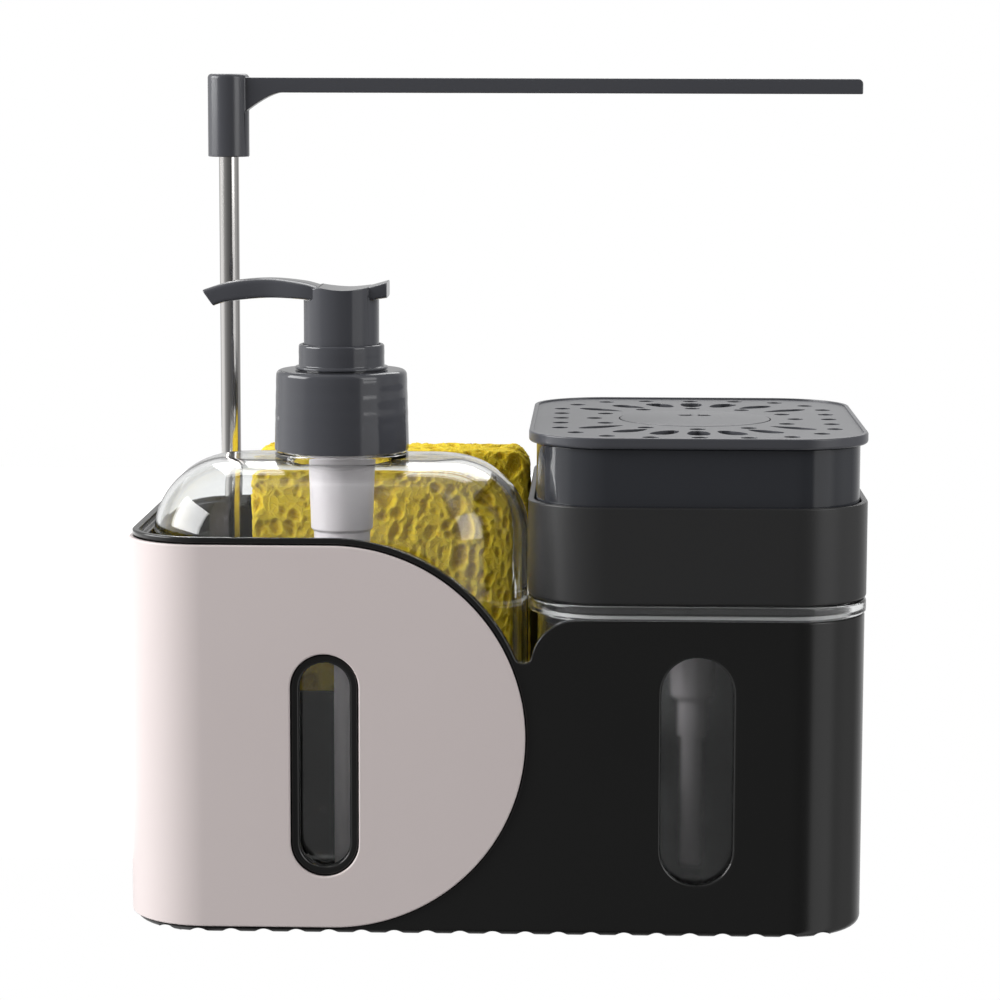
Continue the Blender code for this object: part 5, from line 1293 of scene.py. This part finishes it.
noise.seed_set(4)
mesh = sponge.data
# cell_depth records how deep each point is sunk; the sponge's colour ramp paints the deeper points darker, as
# painted shade in the cells.
pit = mesh.attributes.new("cell_depth", "FLOAT", "POINT")
normals = [vertex.normal.copy() for vertex in mesh.vertices]
for vertex, normal, value in zip(mesh.vertices, normals, pit.data):
    place = Vector(vertex.co)
    wide, wide_lip = pore(place, 0.0074, 3.0, 0.42)
    middle, middle_lip = pore(place, 0.0042, 7.0, 0.62)
    small, small_lip = pore(place, 0.0024, 11.0, 0.70)
    lip = max(wide_lip, middle_lip * (1 - wide), 0.6 * small_lip * (1 - wide) * (1 - middle))
    sunk = 0.00045 * (1 - lip) + 0.0012 * wide + 0.0008 * middle * (1 - wide)
    sunk += 0.0005 * small * (1 - 0.6 * max(wide, middle))
    vertex.co = place - normal * sunk
    value.value = min(1.0, sunk / 0.0020)
shade(sponge, 180)


def make_foam_web():
    """The thin web between the foam's cells, at one cell size: a mask that is 1 on the web."""
    tree, given, out = group(
        "foam_web", [("Cell Size", "Float", 300.0), ("Width", "Float", 0.1)], [("Web", "Float")]
    )
    place = node(tree, "TexCoord").outputs["Object"]
    drift = node(tree, "TexNoise", {"Vector": place, "Scale": 170, "Detail": 2})
    bent = {0: drift.outputs["Color"], 1: (0.0045, 0.0045, 0.0045), 2: place}
    bend = node(tree, "VectorMath", bent, operation="MULTIPLY_ADD").outputs["Vector"]
    cells = node(tree, "TexVoronoi", feature="DISTANCE_TO_EDGE")
    feed(tree, cells, {"Vector": bend, "Scale": given["Cell Size"]})
    limits = {"Value": cells.outputs["Distance"], "From Max": given["Width"], "To Min": 1, "To Max": 0}
    rim = node(tree, "MapRange", limits, interpolation_type="SMOOTHSTEP")
    feed(tree, out, {"Web": rim.outputs["Result"]})
    return tree


foam = bpy.data.materials.new("sponge_skin")
foam.use_nodes = True
mix = foam.node_tree
FOAM_WEB = make_foam_web()
# This pale colour is a painted highlight on the raised web between the foam's cells.
WEB_HIGHLIGHT = (0.98, 0.78, 0.16, 1)
# The ramp runs from bright yellow foam at the surface to dark brown at the cells' floors: the dark end is painted
# shade.
FOAM_TONES_AND_PIT_SHADE = ((0.06, (0.95, 0.74, 0.075, 1)), (0.9, (0.50, 0.27, 0.008, 1)), (0.36, (0.84, 0.58, 0.026, 1)))
sunk = node(mix, "Attribute", attribute_name="cell_depth")
tones_and_pit_shade = node(mix, "ValToRGB", {"Fac": sunk.outputs["Fac"]})
stops = tones_and_pit_shade.color_ramp.elements
for number, (spot, colour) in enumerate(FOAM_TONES_AND_PIT_SHADE):
    stop = stops[number] if number < 2 else stops.new(spot)
    stop.position = spot
    stop.color = colour
wide_web, fine_web = (
    node(mix, "Group", {"Cell Size": cell_size, "Width": width}, node_tree=FOAM_WEB).outputs["Web"]
    for cell_size, width in ((190, 0.06), (420, 0.09))
)
strands = node(mix, "Math", {0: wide_web, 1: fine_web}, operation="MAXIMUM").outputs[0]
# The web mask mixes the painted highlight into the foam's colour.
web_highlight_share = node(mix, "Math", {0: strands, 1: 0.6}, operation="MULTIPLY")
on_web = node(mix, "Mix", data_type="RGBA")
feed(mix, on_web, {"Factor": web_highlight_share.outputs[0], "A": tones_and_pit_shade.outputs["Color"], "B": WEB_HIGHLIGHT})
look = node(mix, "Group", {
    "Roughness": 0.62, "Spread": 0.2, "Grain Size": 1300, "Shade": (0.76, 0.54, 0.022, 1),
    "Colour": on_web.outputs["Result"],
}, node_tree=MOULDED_SKIN).outputs
relief = node(mix, "Bump", {"Strength": 0.5, "Distance": 0.0002, "Height": look["Height"]})
raised = node(mix, "Bump", {
    "Strength": 0.5, "Distance": 0.0003, "Height": strands, "Normal": relief.outputs["Normal"],
})
feed(mix, mix.nodes["Principled BSDF"], {
    "Base Color": look["Colour"], "Roughness": look["Roughness"], "Normal": raised.outputs["Normal"],
    "Specular IOR Level": 0.03, "Subsurface Weight": 0.25, "Subsurface Radius": (0.004, 0.003, 0.001),
    "Subsurface Scale": 0.4,
})
sponge.data.materials.append(foam)
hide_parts("sponge")
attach(sponge, "sponge")
